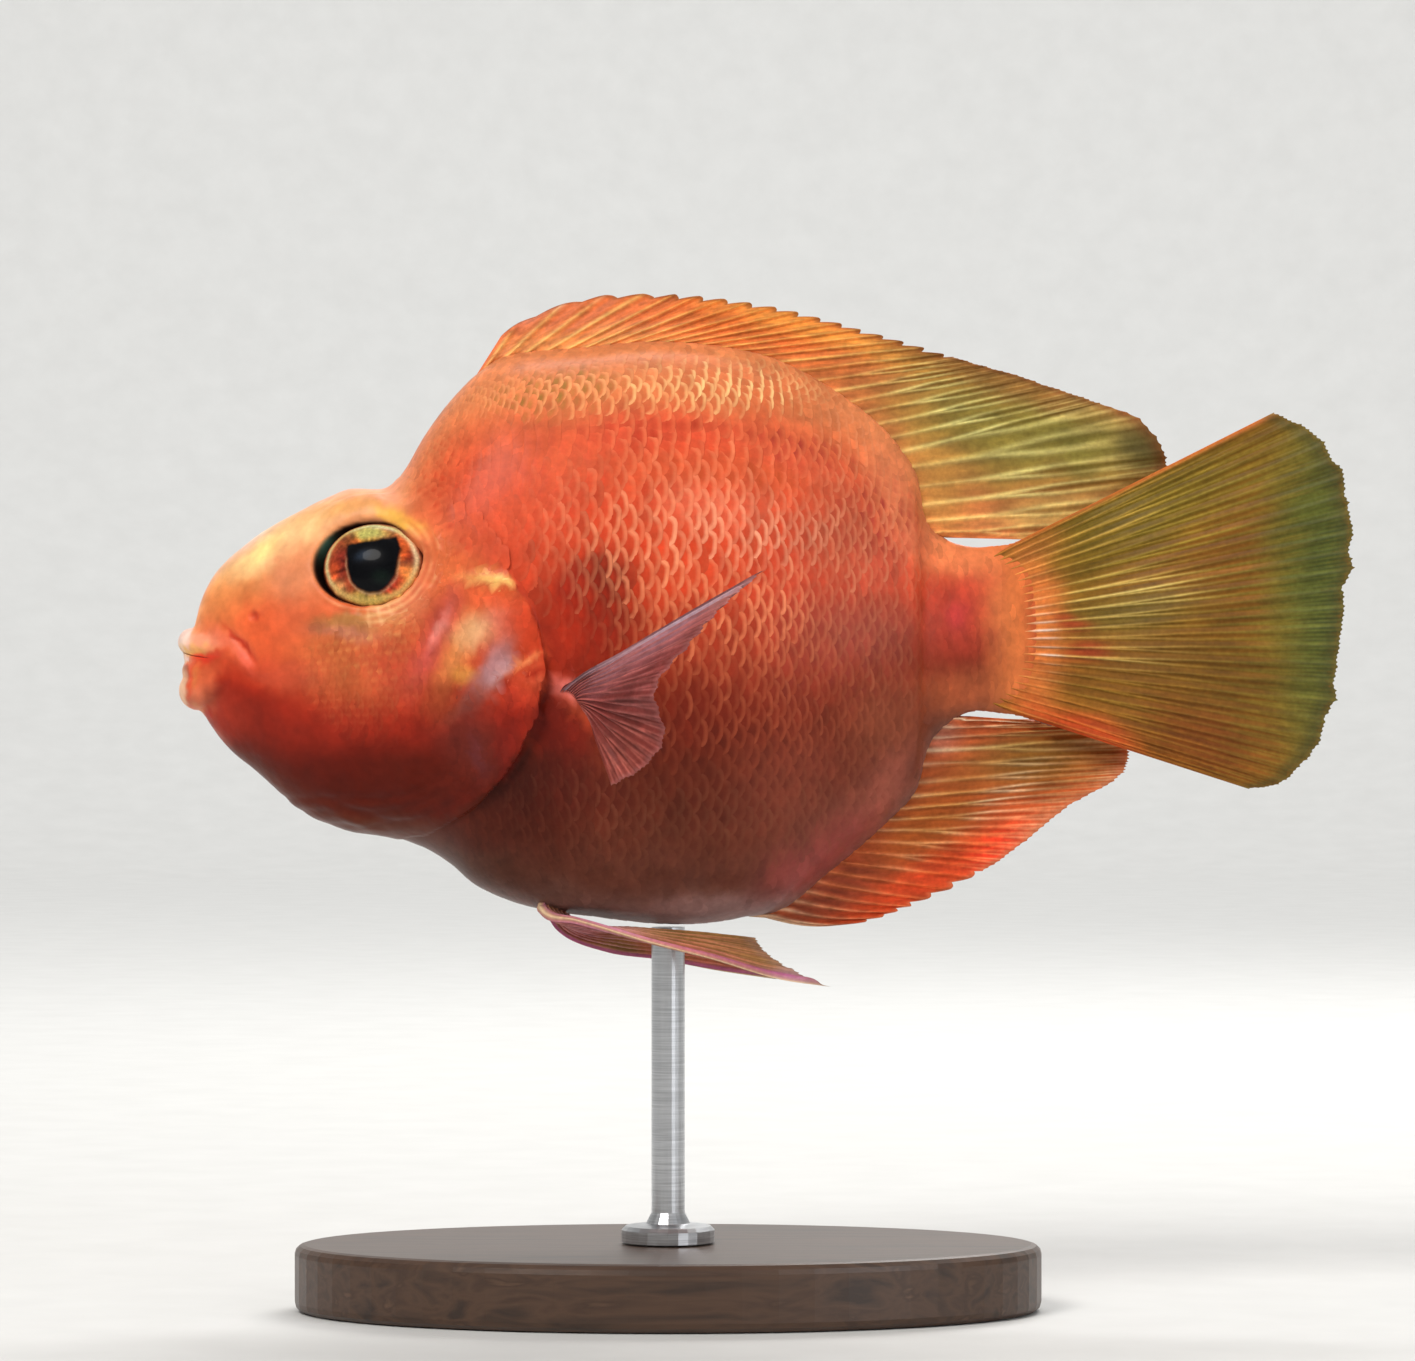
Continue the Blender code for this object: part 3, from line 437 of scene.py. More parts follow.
def head_lift(point):
    """How far the head's skin stands over the bare body."""
    x, z = point[..., 0], point[..., 2]
    edge = arc_measure(x, z, GILL_REACH, GILL_HEIGHT)
    below = 1.0 - 0.65 * smooth_step(z, 94.0, 106.0) - 0.35 * smooth_step(z, 106.0, 116.0)
    above = smooth_step(z, 70.0, 80.0)
    gill = GILL_LIFT * smooth_step(edge, 0.72, 0.97) * below * above
    cheek = arc_measure(x, z, CHEEK_REACH, CHEEK_HEIGHT)
    ridge = CHEEK_LIFT * np.exp(-(((cheek - 1.0) * CHEEK_REACH) / 2.2) ** 2)
    plate = ridge * below * smooth_step(x, -60.0, -52.0)
    rays = np.zeros_like(x)
    for inward in GILL_RAYS:
        band = np.exp(-((behind_gill(x, z) + inward) / 0.5) ** 2)
        rays -= GILL_RAY_DEPTH * band * (1.0 - smooth_step(z, 76.0, 88.0))
    fine = layered(point, HEAD_GRAIN)
    return gill + plate + rays + orbit_lift(point) + fold_lift(x, z) + nostril_lift(point) + fine - HEAD_INSET


def torso_lift(point):
    """How far the torso's skin stands over the bare body."""
    x, y, z = point[..., 0], point[..., 1], point[..., 2]
    level = 1.0 - 0.7 * smooth_step(z, 94.0, 104.0) - 0.3 * smooth_step(z, 104.0, 112.0)
    level = level * smooth_step(z, 72.0, 82.0)
    groove = -0.75 * level * (1.0 - smooth_step(behind_gill(x, z), 0.2, 3.2))
    hollow = mound(x, z, FIN_HOLLOW)
    knob = mound(x, z, FIN_KNOB)
    sheath = 0.5 * np.exp(-(y / 2.4) ** 2) * smooth_step(z, 100.0, 118.0) * smooth_step(x, -43.0, -38.0)
    keel = 0.45 * np.exp(-(y / 2.0) ** 2) * (1.0 - smooth_step(z, 84.0, 92.0)) * smooth_step(x, -1.0, 4.0)
    vent = mound(x, y, VENT) * (1.0 - smooth_step(z, 60.0, 66.0))
    fade = 1.0 - smooth_step(x, 27.0, 34.0)
    soft = layered(point, TORSO_GRAIN)
    return groove + hollow + knob + (sheath + keel) * fade + vent + soft * fade - COAT_DEPTH


def to_linear(colour):
    """Scene colours from display colours of 0 to 255."""
    c = np.clip(np.asarray(colour, float) / 255.0, 0.0, 1.0)
    return np.where(c <= 0.04045, c / 12.92, ((c + 0.055) / 1.055) ** 2.4)


def blend(colour, tint, share):
    """Colour moved towards a tint by a share of the way at each place."""
    return colour + (np.array(tint, float) - colour) * share[..., None]


def paint(colour, x, z, patches):
    """Lay soft named patches over a colour.

    A patch is: name, x, z, half length, half height, tilt in degrees, colour,
    strength.  It has half its strength at its half length and half height.
    """
    colour = np.array(colour, float)
    for _, px, pz, rx, rz, tilt, tint, strength in patches:
        c, s = math.cos(math.radians(tilt)), math.sin(math.radians(tilt))
        along = (x - px) * c + (z - pz) * s
        across = (z - pz) * c - (x - px) * s
        share = strength * np.exp(-0.7 * ((along / rx) ** 2 + (across / rz) ** 2) ** 1.5)
        colour = blend(colour, tint, share)
    return colour


def gradient(share, stops):
    """Colour between stops of (share, colour)."""
    places = [s for s, _ in stops]
    tints = np.array([c for _, c in stops], float)
    return np.stack([np.interp(share, places, tints[:, k]) for k in range(3)], axis=-1)


# Colours over the body from the belly line, 0, to the back line, 1: partly the fish's own colours, partly
# painted shade darkening towards the belly and painted light brightening towards the back, with a painted
# pale highlight along the top line of the head.
HEAD_BANDS = [(0.0, (96, 46, 32)), (0.1, (90, 26, 14)), (0.22, (102, 24, 13)), (0.34, (150, 36, 20)),
              (0.5, (204, 76, 43)), (0.66, (218, 106, 62)), (0.82, (220, 136, 86)),
              (0.92, (234, 166, 116)), (0.97, (240, 184, 160)), (1.0, (246, 212, 208))]
BODY_BANDS = [(0.0, (116, 84, 76)), (0.08, (104, 58, 46)), (0.2, (110, 48, 31)), (0.32, (122, 44, 26)),
              (0.46, (148, 50, 30)), (0.58, (190, 66, 40)), (0.72, (206, 76, 45)),
              (0.84, (210, 91, 55)), (0.93, (214, 119, 73)), (1.0, (218, 131, 83))]

HEAD_PATCHES = [
    ("snout", -79, 106, 5, 6, 30, (222, 134, 74), 0.8),
    # Painted highlights where light falls on the forehead and brow.
    ("forehead painted highlight", -72.5, 115.2, 8.5, 2.6, 32, (242, 206, 146), 0.9),
    ("forehead peak", -74.2, 114.2, 3.6, 1.4, 35, (250, 224, 138), 0.6),
    ("brow painted highlight", -63, 120.4, 7, 1.8, 14, (244, 190, 120), 0.6),
    ("before the eye", -69.6, 110, 3.4, 5, 0, (212, 132, 92), 0.75),
    ("round the nostril", -73.8, 102.2, 6, 4, 0, (222, 92, 52), 0.85),
    ("nostril", -75.3, 104, 0.8, 0.7, 0, (196, 70, 44), 0.8),
    ("upper cheek", -67.4, 102.8, 4, 4, 0, (219, 101, 63), 0.7),
    ("cheek", -60.5, 97.4, 9, 6.2, 0, (188, 96, 52), 0.85),
    ("cheek edge", -70, 95.5, 5, 2.6, 0, (206, 86, 58), 0.6),
    ("cheek rear", -52.6, 96, 4, 7, 70, (198, 70, 50), 0.65),
    ("lower cheek", -66, 88, 10, 4, 5, (156, 42, 26), 0.6),
    ("under the eye", -61.5, 101.8, 5, 1.2, -6, (186, 122, 100), 0.7),
    ("olive under the eye", -60, 103.6, 5.4, 1, 0, (150, 112, 62), 0.75),
    ("behind the lower lid", -54.8, 105, 3.4, 2.2, 40, (224, 166, 108), 0.7),
    ("rear lid", -50.2, 109, 2.2, 5.4, -12, (212, 126, 92), 0.6),
    # Painted highlight where light falls on the upper lid.
    ("yellow painted highlight over the lid", -53.6, 118.6, 4.6, 1.2, -32, (252, 208, 84), 0.9),
    ("olive lid", -61, 120.2, 5, 0.9, 8, (214, 160, 92), 0.6),
    ("pink over lid", -55.4, 121.6, 3.2, 1, -8, (240, 170, 144), 0.55),
    ("red temple", -46.6, 118.6, 3.6, 5.5, 0, (224, 108, 70), 0.5),
    ("behind the eye", -46, 111, 4, 4, 0, (198, 98, 54), 0.55),
    ("preopercle", -48, 101.2, 7, 1.8, 65, (192, 80, 74), 0.8),
    # Painted highlight along the ridge of the preopercle.
    ("preopercle painted highlight", -47.6, 102.4, 3, 0.7, 62, (236, 150, 136), 0.65),
    ("orange of the opercle", -45.4, 98.4, 5.8, 1.9, 68, (230, 140, 78), 0.9),
    ("cream of the opercle", -42.4, 102.2, 3.2, 2.2, 20, (230, 182, 132), 0.8),
    ("yellow of the opercle", -44, 95.6, 1.6, 1.4, 0, (238, 170, 72), 0.75),
    ("lavender", -39.6, 96.8, 5, 2.1, 62, (172, 128, 132), 0.9),
    ("pale lavender", -38.6, 95.6, 2.6, 0.9, 62, (202, 162, 166), 0.75),
    ("lavender foot", -43.2, 91, 3.6, 1.4, 30, (142, 84, 76), 0.7),
    ("orange foot", -47, 91.8, 3, 3.4, 0, (148, 58, 30), 0.7),
    ("pink of the opercle top", -37.6, 103.4, 3.2, 1.8, -15, (218, 120, 100), 0.65),
    ("opercle red", -34.2, 101.6, 3, 5, 0, (196, 60, 32), 0.8),
    ("opercle dash", -37.4, 108.9, 5.4, 0.95, -10, (248, 196, 112), 1),
    ("dash shadow", -37, 107.3, 5.4, 0.6, -9, (206, 84, 44), 0.7),
    ("over the dash", -41, 112.6, 6, 2, -5, (228, 104, 58), 0.5),
    ("flap", -34.4, 94.6, 2.6, 3.2, 10, (198, 72, 41), 0.8),
    ("flap streak", -35.2, 96.8, 2.6, 0.55, 35, (240, 144, 88), 0.85),
    ("flap streak low", -35.2, 93.6, 2.2, 0.5, 20, (216, 88, 58), 0.7),
    ("flap rim", -32.6, 93, 0.7, 3.6, 12, (206, 88, 58), 0.7),
    # Painted shade in the gaps of the gill flap.
    ("flap gap", -33.8, 95.2, 2, 0.4, 35, (160, 40, 24), 0.8),
    ("flap gap low", -36.6, 91.6, 0.5, 2.4, 25, (140, 32, 20), 0.75),
    ("flap corner", -36, 91.4, 2.6, 1.2, -20, (200, 66, 42), 0.7),
    ("purple of the opercle", -42.6, 84.6, 5, 6, 20, (104, 42, 34), 0.75),
    ("violet streak", -41.8, 83, 1, 3.4, 10, (98, 48, 56), 0.5),
    ("opercle foot red", -37, 85.6, 1.8, 5, -8, (118, 28, 20), 0.6),
    # Partly the head's own dark red and partly painted shade under the head.
    ("maroon", -52, 80, 9, 4, -8, (86, 24, 12), 0.8),
    ("chin", -79.6, 88.4, 4.4, 3.6, 30, (164, 50, 32), 0.85),
    ("pale of the chin edge", -81.6, 86.4, 2.6, 0.8, -38, (186, 100, 66), 0.4),
    ("throat", -57, 72.6, 8, 1.6, -10, (110, 62, 46), 0.6),
    ("lower lip", -84.2, 92.2, 3, 3.2, 0, (232, 128, 92), 0.9),
    # Painted highlight along the front of the lower lip.
    ("lower lip rim", -87, 94, 1.1, 6, 0, (240, 198, 164), 0.9),
    ("lower lip foot", -84.6, 90, 2.2, 0.9, 10, (226, 160, 104), 0.6),
    ("lip hollow", -83.2, 95.4, 2.4, 2.2, 0, (228, 108, 66), 0.85),
    ("lip red", -85.1, 94.2, 0.7, 2.2, 0, (230, 84, 52), 0.7),
    ("lip olive", -84, 95.2, 0.7, 1.8, 0, (204, 122, 62), 0.5),
    # Painted shadow under the lower lip.
    ("under the lip", -82.4, 89.8, 1, 0.7, 40, (170, 34, 20), 0.7),
    ("upper lip", -84, 100.3, 3.4, 1.4, 0, (238, 158, 126), 0.85),
    # Painted highlight on the tip of the upper lip.
    ("upper lip tip", -86.8, 99.7, 1.6, 2.2, 0, (240, 212, 200), 0.95),
    ("upper lip gold", -84.6, 99.2, 2.1, 0.7, 3, (240, 180, 96), 0.85),
    ("lip fold", -79, 99.6, 3.6, 1.3, -40, (234, 114, 84), 0.8),
    ("corner pink", -76.8, 97.2, 1.8, 0.6, -45, (232, 108, 88), 0.6),
    ("maxilla", -77.6, 99.9, 3, 0.4, -50, (190, 54, 34), 0.85),
    ("mouth", -82.6, 98.3, 1.8, 0.7, 0, (222, 62, 40), 0.9),
]

BODY_PATCHES = [
    ("red shoulder", -38, 121.5, 7, 5.5, 0, (228, 86, 50), 0.55),
    ("red band", -14, 130.6, 13, 3.4, 0, (220, 80, 52), 0.65),
    ("brown band", 7, 125.6, 8, 2.6, -24, (206, 86, 57), 0.7),
    ("salmon under the band", -7, 119.4, 9, 3.6, -4, (228, 118, 90), 0.6),
    ("orange flank", -15, 112, 9, 6, 0, (216, 82, 48), 0.5),
    ("rear brown", 13, 116.5, 8, 5.5, 0, (166, 75, 49), 0.7),
    ("rear back", 19.8, 122.5, 3.2, 7, 20, (230, 130, 86), 0.8),
    ("rear back low", 22.8, 114.8, 2.4, 3, 0, (232, 124, 86), 0.7),
    ("rear red", 18.4, 111.2, 5, 3.4, 0, (212, 86, 60), 0.6),
    ("peduncle top", 30.5, 112.4, 6, 2.4, -4, (236, 130, 80), 0.95),
    ("peduncle red", 28.6, 104, 4.6, 5.4, 0, (182, 58, 42), 0.75),
    ("peduncle magenta", 29, 103.6, 1.6, 1.8, 0, (206, 56, 62), 0.5),
    ("peduncle foot", 29, 92.6, 6, 3.4, 0, (186, 92, 54), 0.8),
    ("tail root", 38, 102, 4.2, 18, 0, (214, 116, 62), 0.95),
    ("mauve flank", 15, 101, 9, 5, 0, (152, 70, 56), 0.7),
    ("olive flank", 19, 88, 6, 6, 0, (136, 70, 47), 0.7),
    ("pink keel", 17, 76.6, 8, 3.6, 50, (172, 92, 74), 0.8),
    ("red flank", -4, 98, 11, 6, 0, (178, 66, 42), 0.5),
    ("red by the pectoral", -9, 90, 7, 5, 0, (140, 42, 26), 0.5),
    ("bruise", -23.2, 107, 3.8, 5.8, 12, (54, 17, 14), 0.98),
    ("bruise front", -27.4, 107.2, 2.2, 3.4, 0, (122, 24, 20), 0.8),
    ("bruise foot", -22, 102.4, 2.4, 2.4, 0, (120, 40, 36), 0.6),
    ("red round the bruise", -25.6, 102.4, 7, 7.6, 0, (150, 36, 20), 0.8),
    # Painted shade in the hollow and groove behind the gill cover.
    ("hollow", -29.6, 86.4, 3.8, 6.4, 0, (122, 28, 17), 0.9),
    ("hollow by the gill", -32, 88.6, 1.6, 5, 12, (104, 24, 15), 0.8),
    ("hollow foot", -34.4, 80, 5, 4.4, 40, (50, 16, 10), 0.8),
    ("behind the gill top", -29.6, 100.4, 2, 6, 0, (168, 44, 24), 0.7),
    ("orange by the root", -27, 90.2, 3.4, 1.4, -48, (206, 78, 44), 0.85),
    ("pink root", -28.4, 92.9, 2.8, 1.5, -30, (236, 124, 114), 0.95),
    ("purple belly", 8, 68.4, 9, 3.4, 34, (160, 66, 62), 0.8),
    ("mauve belly", 4, 78, 9, 8, 0, (138, 66, 50), 0.6),
    ("pale keel", -7, 60.2, 12, 2.6, 4, (158, 122, 118), 0.75),
    # Partly the fish's own colour and partly painted shade on the underside of the breast and belly.
    ("dark breast", -36, 75, 11, 7, 0, (64, 20, 12), 0.7),
    ("breast", -44, 66, 9, 3, 0, (84, 52, 40), 0.6),
    ("maroon belly", -26, 79, 6, 4, 0, (86, 26, 17), 0.5),
]

# Light crescents on the rims of the scales, and dark spots at their centres.
GLINTS = [
    ("flank", -10, 114, 18, 11, -4, (244, 146, 104), 0.62),
    ("middle", -4, 103, 15, 9, 0, (236, 126, 82), 0.62),
    ("lower flank", -4, 91, 16, 9, 0, (184, 84, 54), 0.45),
    ("belly", -4, 74, 28, 9, 0, (136, 74, 52), 0.3),
    ("rear", 14, 114, 9, 14, 0, (216, 128, 92), 0.4),
    ("rear low", 14, 94, 9, 12, 0, (162, 88, 62), 0.3),
    ("back", -18, 137, 22, 3, 2, (244, 168, 108), 0.6),
    ("cream arcs", -6, 138.4, 12, 3, -3, (250, 210, 142), 0.85),
    ("rear back", 13, 130, 5, 5, -40, (238, 150, 104), 0.4),
    ("red row", -10, 129, 14, 3, -4, (240, 132, 88), 0.45),
    ("cheek", -60, 97.5, 9, 8, 0, (214, 128, 78), 0.1),
    ("cheek gold", -55.5, 102.5, 4, 3, 0, (232, 176, 110), 0.16),
    ("pale crescents", -4, 116, 10, 4, 0, (250, 176, 142), 0.6),
]
SPOTS = [
    ("flank", -12, 114, 22, 14, -4, (206, 62, 34), 0.5),
    ("olive back", -30, 137.2, 9, 3.2, 8, (150, 110, 52), 0.75),
    ("back", -4, 137.8, 14, 3.6, -3, (206, 104, 60), 0.6),
    ("red row", -14, 131.4, 13, 1.7, 0, (172, 46, 30), 0.5),
    ("purple row", 6, 128.4, 8, 2.2, -16, (152, 50, 44), 0.5),
    ("olive row", -6, 125, 13, 1.5, -4, (158, 74, 38), 0.65),
    ("rear row", 17, 118, 6, 6, -40, (152, 52, 44), 0.5),
    ("rear flank", 12, 98, 12, 8, 0, (132, 52, 44), 0.35),
    ("nape", -45, 121, 6, 9, 0, (196, 70, 40), 0.6),
    ("cheek", -60, 97, 8, 7, 0, (220, 144, 82), 0.3),
    ("cheek gold", -56, 102.4, 5, 3, 0, (236, 182, 110), 0.42),
    ("lower cheek", -62, 91, 8, 3, 0, (186, 76, 46), 0.3),
    ("belly", -10, 80, 26, 8, 0, (92, 34, 24), 0.35),
]

# Lines of the eyelids: painted highlight on their folds and painted shade between them; and painted shade in
# the gap round the eyeball.
LID_LIGHT = (246, 206, 150)
LID_SHADE = (196, 84, 58)
SOCKET_SHADE = (26, 12, 10)
SOCKET_TEAL = (84, 130, 110)
SOCKET_WARM = (196, 112, 68)


def body_level(point):
    """Share of the way from the belly line to the back line."""
    x, z = point[..., 0], point[..., 2]
    back = np.interp(x, BODY_ROWS[:, 0], BODY_ROWS[:, 1])
    belly = np.interp(x, BODY_ROWS[:, 2], BODY_ROWS[:, 3])
    return np.clip((z - belly) / np.maximum(back - belly, 1.0), 0.0, 1.0)


def markings(point):
    """Colour of the skin and the scales, on either flank, as display colours."""
    point = left_side(point)
    x = point[..., 0] + layered(point, COLOUR_DRIFT)
    z = point[..., 2] + layered(point, COLOUR_SWAY)
    level = body_level(point) + 0.02 * noise(point, 5.0, 15)
    head = paint(gradient(level, HEAD_BANDS), x, z, HEAD_PATCHES)
    body = paint(gradient(level, BODY_BANDS), x, z, BODY_PATCHES)
    sharp = (1.0 - smooth_step(z, 108.0, 118.0)) * smooth_step(z, 70.0, 78.0)
    reach = 0.8 + 9.0 * (1.0 - sharp)
    share = smooth_step(behind_gill(x, z), -reach, reach * 0.4)[..., None]
    colour = head * (1.0 - share) + body * share
    mottle = 1.0 + 0.06 * noise(point, 1.5, 16) + 0.05 * noise(point, 4.5, 17)
    return np.clip(colour * mottle[..., None], 0.0, 255.0)


def put(name, data):
    """New object in the scene."""
    obj = bpy.data.objects.new(name, data)
    bpy.context.scene.collection.objects.link(obj)
    return obj


def make_object(name, points, faces, material):
    """Mesh object from millimetre points, smooth shaded."""
    mesh = bpy.data.meshes.new(name)
    points = np.asarray(points, np.float32).reshape(-1, 3) * np.float32(MM)
    faces = [np.asarray(block, np.int32) for block in faces if len(block)]
    mesh.vertices.add(len(points))
    mesh.vertices.foreach_set("co", points.ravel())
    loops = np.concatenate([block.ravel() for block in faces])
    sizes = np.concatenate([np.full(len(block), block.shape[1], np.int32) for block in faces])
    starts = np.concatenate([[0], np.cumsum(sizes)[:-1]]).astype(np.int32)
    mesh.loops.add(len(loops))
    mesh.loops.foreach_set("vertex_index", loops)
    mesh.polygons.add(len(sizes))
    mesh.polygons.foreach_set("loop_start", starts)
    mesh.polygons.foreach_set("loop_total", sizes)
    mesh.update(calc_edges=True)
    mesh.validate()
    mesh.shade_smooth()
    if material is not None:
        mesh.materials.append(material)
    return put(name, mesh)


def set_colour(obj, name, colour, alpha=None):
    """Colour for each vertex, from display colours."""
    linear = to_linear(colour)
    alpha = np.ones(len(linear)) if alpha is None else alpha
    values = np.concatenate([linear, alpha[:, None]], axis=1).astype(np.float32)
    layer = obj.data.color_attributes.new(name=name, type="FLOAT_COLOR", domain="POINT")
    layer.data.foreach_set("color", values.ravel())


def set_value(obj, name, value):
    """Number for each vertex."""
    layer = obj.data.attributes.new(name=name, type="FLOAT", domain="POINT")
    layer.data.foreach_set("value", np.asarray(value, np.float32).ravel())


def read_points(mesh):
    """Points of a mesh in millimetres."""
    points = np.empty(len(mesh.vertices) * 3, np.float32)
    mesh.vertices.foreach_get("co", points)
    return points.reshape(-1, 3).astype(float) / MM


def write_points(mesh, points):
    """Move the points of a mesh, given in millimetres."""
    mesh.vertices.foreach_set("co", (np.asarray(points) * MM).astype(np.float32).ravel())
    mesh.update()


def read_normals(mesh):
    """Directions out of a mesh at its points."""
    normals = np.empty(len(mesh.vertices) * 3, np.float32)
    mesh.vertices.foreach_get("normal", normals)
    return normals.reshape(-1, 3).astype(float)


def soften(mesh, rounds, amount):
    """Even out a mesh by moving each point towards the mean of its neighbours."""
    edges = np.empty(len(mesh.edges) * 2, np.int32)
    mesh.edges.foreach_get("vertices", edges)
    a, b = edges.reshape(-1, 2).T
    count = len(mesh.vertices)
    degree = np.bincount(a, minlength=count) + np.bincount(b, minlength=count)
    points = read_points(mesh)
    for _ in range(rounds):
        mean = np.empty_like(points)
        for k in range(3):
            mean[:, k] = np.bincount(a, weights=points[b, k], minlength=count)
            mean[:, k] += np.bincount(b, weights=points[a, k], minlength=count)
        mean /= np.maximum(degree, 1)[:, None]
        points += amount * (mean - points)
    write_points(mesh, points)


def tube_faces(rows, count, turned=False):
    """Faces round rows of points, closed by fans to two last points at its ends."""
    index = np.arange(rows * count).reshape(rows, count)
    after = np.roll(index, -1, axis=1)
    first, last = np.full(count, rows * count), np.full(count, rows * count + 1)
    if turned:
        quads = [index[:-1], after[:-1], after[1:], index[1:]]
        caps = [[after[0], index[0], first], [index[-1], after[-1], last]]
    else:
        quads = [index[:-1], index[1:], after[1:], after[:-1]]
        caps = [[index[0], after[0], first], [after[-1], index[-1], last]]
    return [np.stack(quads, axis=-1).reshape(-1, 4)] + [np.stack(cap, axis=-1) for cap in caps]


def closed_loft(name, start, end, rings, pole, lift):
    """Closed length of the body between two cuts, both flanks alike."""
    turn = np.linspace(0.0, math.pi, SIDE_POINTS)
    share = np.linspace(0.0, 1.0, rings + 1)
    if pole:
        share = share[1:]
    u = start[None, :] + (end - start)[None, :] * share[:, None]
    turns = np.broadcast_to(turn, u.shape)
    flank = body_point(u, turns)
    out = body_normal(u, turns)
    out[:, (0, -1), 1] = 0.0
    out = unit(out)
    flank += out * lift(flank)[..., None]
    mirror = flank[:, 1:-1] * np.array([1.0, -1.0, 1.0])
    loop = np.concatenate([flank, mirror[:, ::-1]], axis=1)
    tips = [loop[0].mean(axis=0), loop[-1].mean(axis=0)]
    if pole:
        tips[0] = np.array([SNOUT[0] - SNOUT_PROUD, 0.0, SNOUT[1]])
    points = np.concatenate([loop.reshape(-1, 3), tips])
    return make_object(name, points, tube_faces(*loop.shape[:2], turned=True), None)


def lip_roll(name, half, segments=60, around=24):
    """Closed roll of a lip, from one corner of the mouth round to the other."""
    left = np.array(half)[::-1] * np.array([1.0, -1.0, 1.0, 1.0])
    track = Track(np.vstack([left, np.array(half)[1:]]))
    rows = track.at(np.linspace(0.0, 1.0, segments + 1))
    line, swell = rows[:, :3], rows[:, 3]
    along = unit(np.gradient(line, axis=0))
    side = unit(np.cross(along, (0.0, 0.0, 1.0)))
    up = np.cross(side, along)
    angle = np.linspace(0.0, 2.0 * math.pi, around, endpoint=False)
    ring = np.cos(angle)[None, :, None] * side[:, None] + np.sin(angle)[None, :, None] * up[:, None]
    points = (line[:, None] + ring * swell[:, None, None]).reshape(-1, 3)
    ends = [line[0] - along[0] * swell[0] * 0.7, line[-1] + along[-1] * swell[-1] * 0.7]
    return make_object(name, np.concatenate([points, ends]), tube_faces(segments + 1, around), None)


def lens(name, centre, radii, droop, segments=48):
    """Closed ellipsoid used as a cutter, drooping away from the middle."""
    bm = bmesh.new()
    bmesh.ops.create_uvsphere(bm, u_segments=segments, v_segments=segments // 2, radius=1.0)
    mesh = bpy.data.meshes.new(name)
    bm.to_mesh(mesh)
    bm.free()
    points = np.array([v.co for v in mesh.vertices]) * np.array(radii)
    points[:, 2] -= droop * np.abs(points[:, 1])
    write_points(mesh, points + np.array(centre))
    return put(name, mesh)


def apply_modifiers(obj):
    """Put the result of an object's modifiers into its mesh."""
    bpy.context.view_layer.update()
    graph = bpy.context.evaluated_depsgraph_get()
    mesh = bpy.data.meshes.new_from_object(obj.evaluated_get(graph))
    obj.modifiers.clear()
    obj.data = mesh


def join_meshes(name, parts):
    """One object holding the faces of several, which are removed."""
    bm = bmesh.new()
    for part in parts:
        bm.from_mesh(part.data)
        bpy.data.objects.remove(part, do_unlink=True)
    bmesh.ops.recalc_face_normals(bm, faces=bm.faces)
    mesh = bpy.data.meshes.new(name)
    bm.to_mesh(mesh)
    bm.free()
    return put(name, mesh)


def thin_covered(skin):
    """Fewer points where scales cover the skin, so that the head keeps its fine mesh."""
    points = read_points(skin.data)
    covered = skin.vertex_groups.new(name="covered")
    behind = np.flatnonzero(gill_side(points, 0.0) > THIN_BEHIND)
    covered.add(behind.tolist(), 1.0, "REPLACE")
    thin = skin.modifiers.new("thin", "DECIMATE")
    thin.ratio = THIN_SHARE
    thin.vertex_group = "covered"
    apply_modifiers(skin)
    skin.vertex_groups.clear()


def skin_lofts():
    """Head, torso and lips as overlapping closed shapes."""
    turn = np.linspace(0.0, math.pi, SIDE_POINTS)
    gill = cut_share(turn, gill_side, 0.0)
    edge = body_point(gill, turn)
    fray = GILL_FRAY * (1.0 + noise(edge, 2.6, 61)) + 0.08 * noise(edge, 1.1, 62)
    frayed = cut_share(turn, gill_side, -fray)
    lips = (("upper_lip", UPPER_LIP), ("lip_edge", LIP_EDGE),
            ("lower_lip", LOWER_LIP), ("mouth_floor", MOUTH_FLOOR))
    head = closed_loft("head_loft", np.full_like(turn, NOSE_SHARE), frayed, HEAD_RINGS, True, head_lift)
    torso = closed_loft("torso_loft", gill - TORSO_TUCK, np.ones_like(turn), TORSO_RINGS, False, torso_lift)
    return [head, torso] + [lip_roll(name, half) for name, half in lips]


def cut_mouth(skin):
    """Open the slit between the lips."""
    cutter = lens("mouth_lens", MOUTH_SLIT, MOUTH_RADII, MOUTH_DROOP)
    cut = skin.modifiers.new("mouth", "BOOLEAN")
    cut.operation = "DIFFERENCE"
    cut.object = cutter
    cut.solver = "MANIFOLD"
    apply_modifiers(skin)
    bpy.data.objects.remove(cutter, do_unlink=True)


def build_skin(material):
    """One skin over head, lips, torso and tail base."""
    skin = join_meshes("skin", skin_lofts())
    remesh = skin.modifiers.new("one skin", "REMESH")
    remesh.mode = "VOXEL"
    remesh.voxel_size = VOXEL * MM
    apply_modifiers(skin)
    soften(skin.data, 2, 0.5)
    cut_mouth(skin)
    thin_covered(skin)
    skin.data.shade_smooth()
    points = read_points(skin.data)
    fine = layered(points, SKIN_GRAIN)
    write_points(skin.data, tail_swing(points + read_normals(skin.data) * fine[:, None]))
    set_colour(skin, "tone", paint_socket_shade(markings(points), points))
    skin.data.materials.clear()
    skin.data.materials.append(material)
    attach(skin, "root")
    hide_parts("head", "torso", "tail_base")


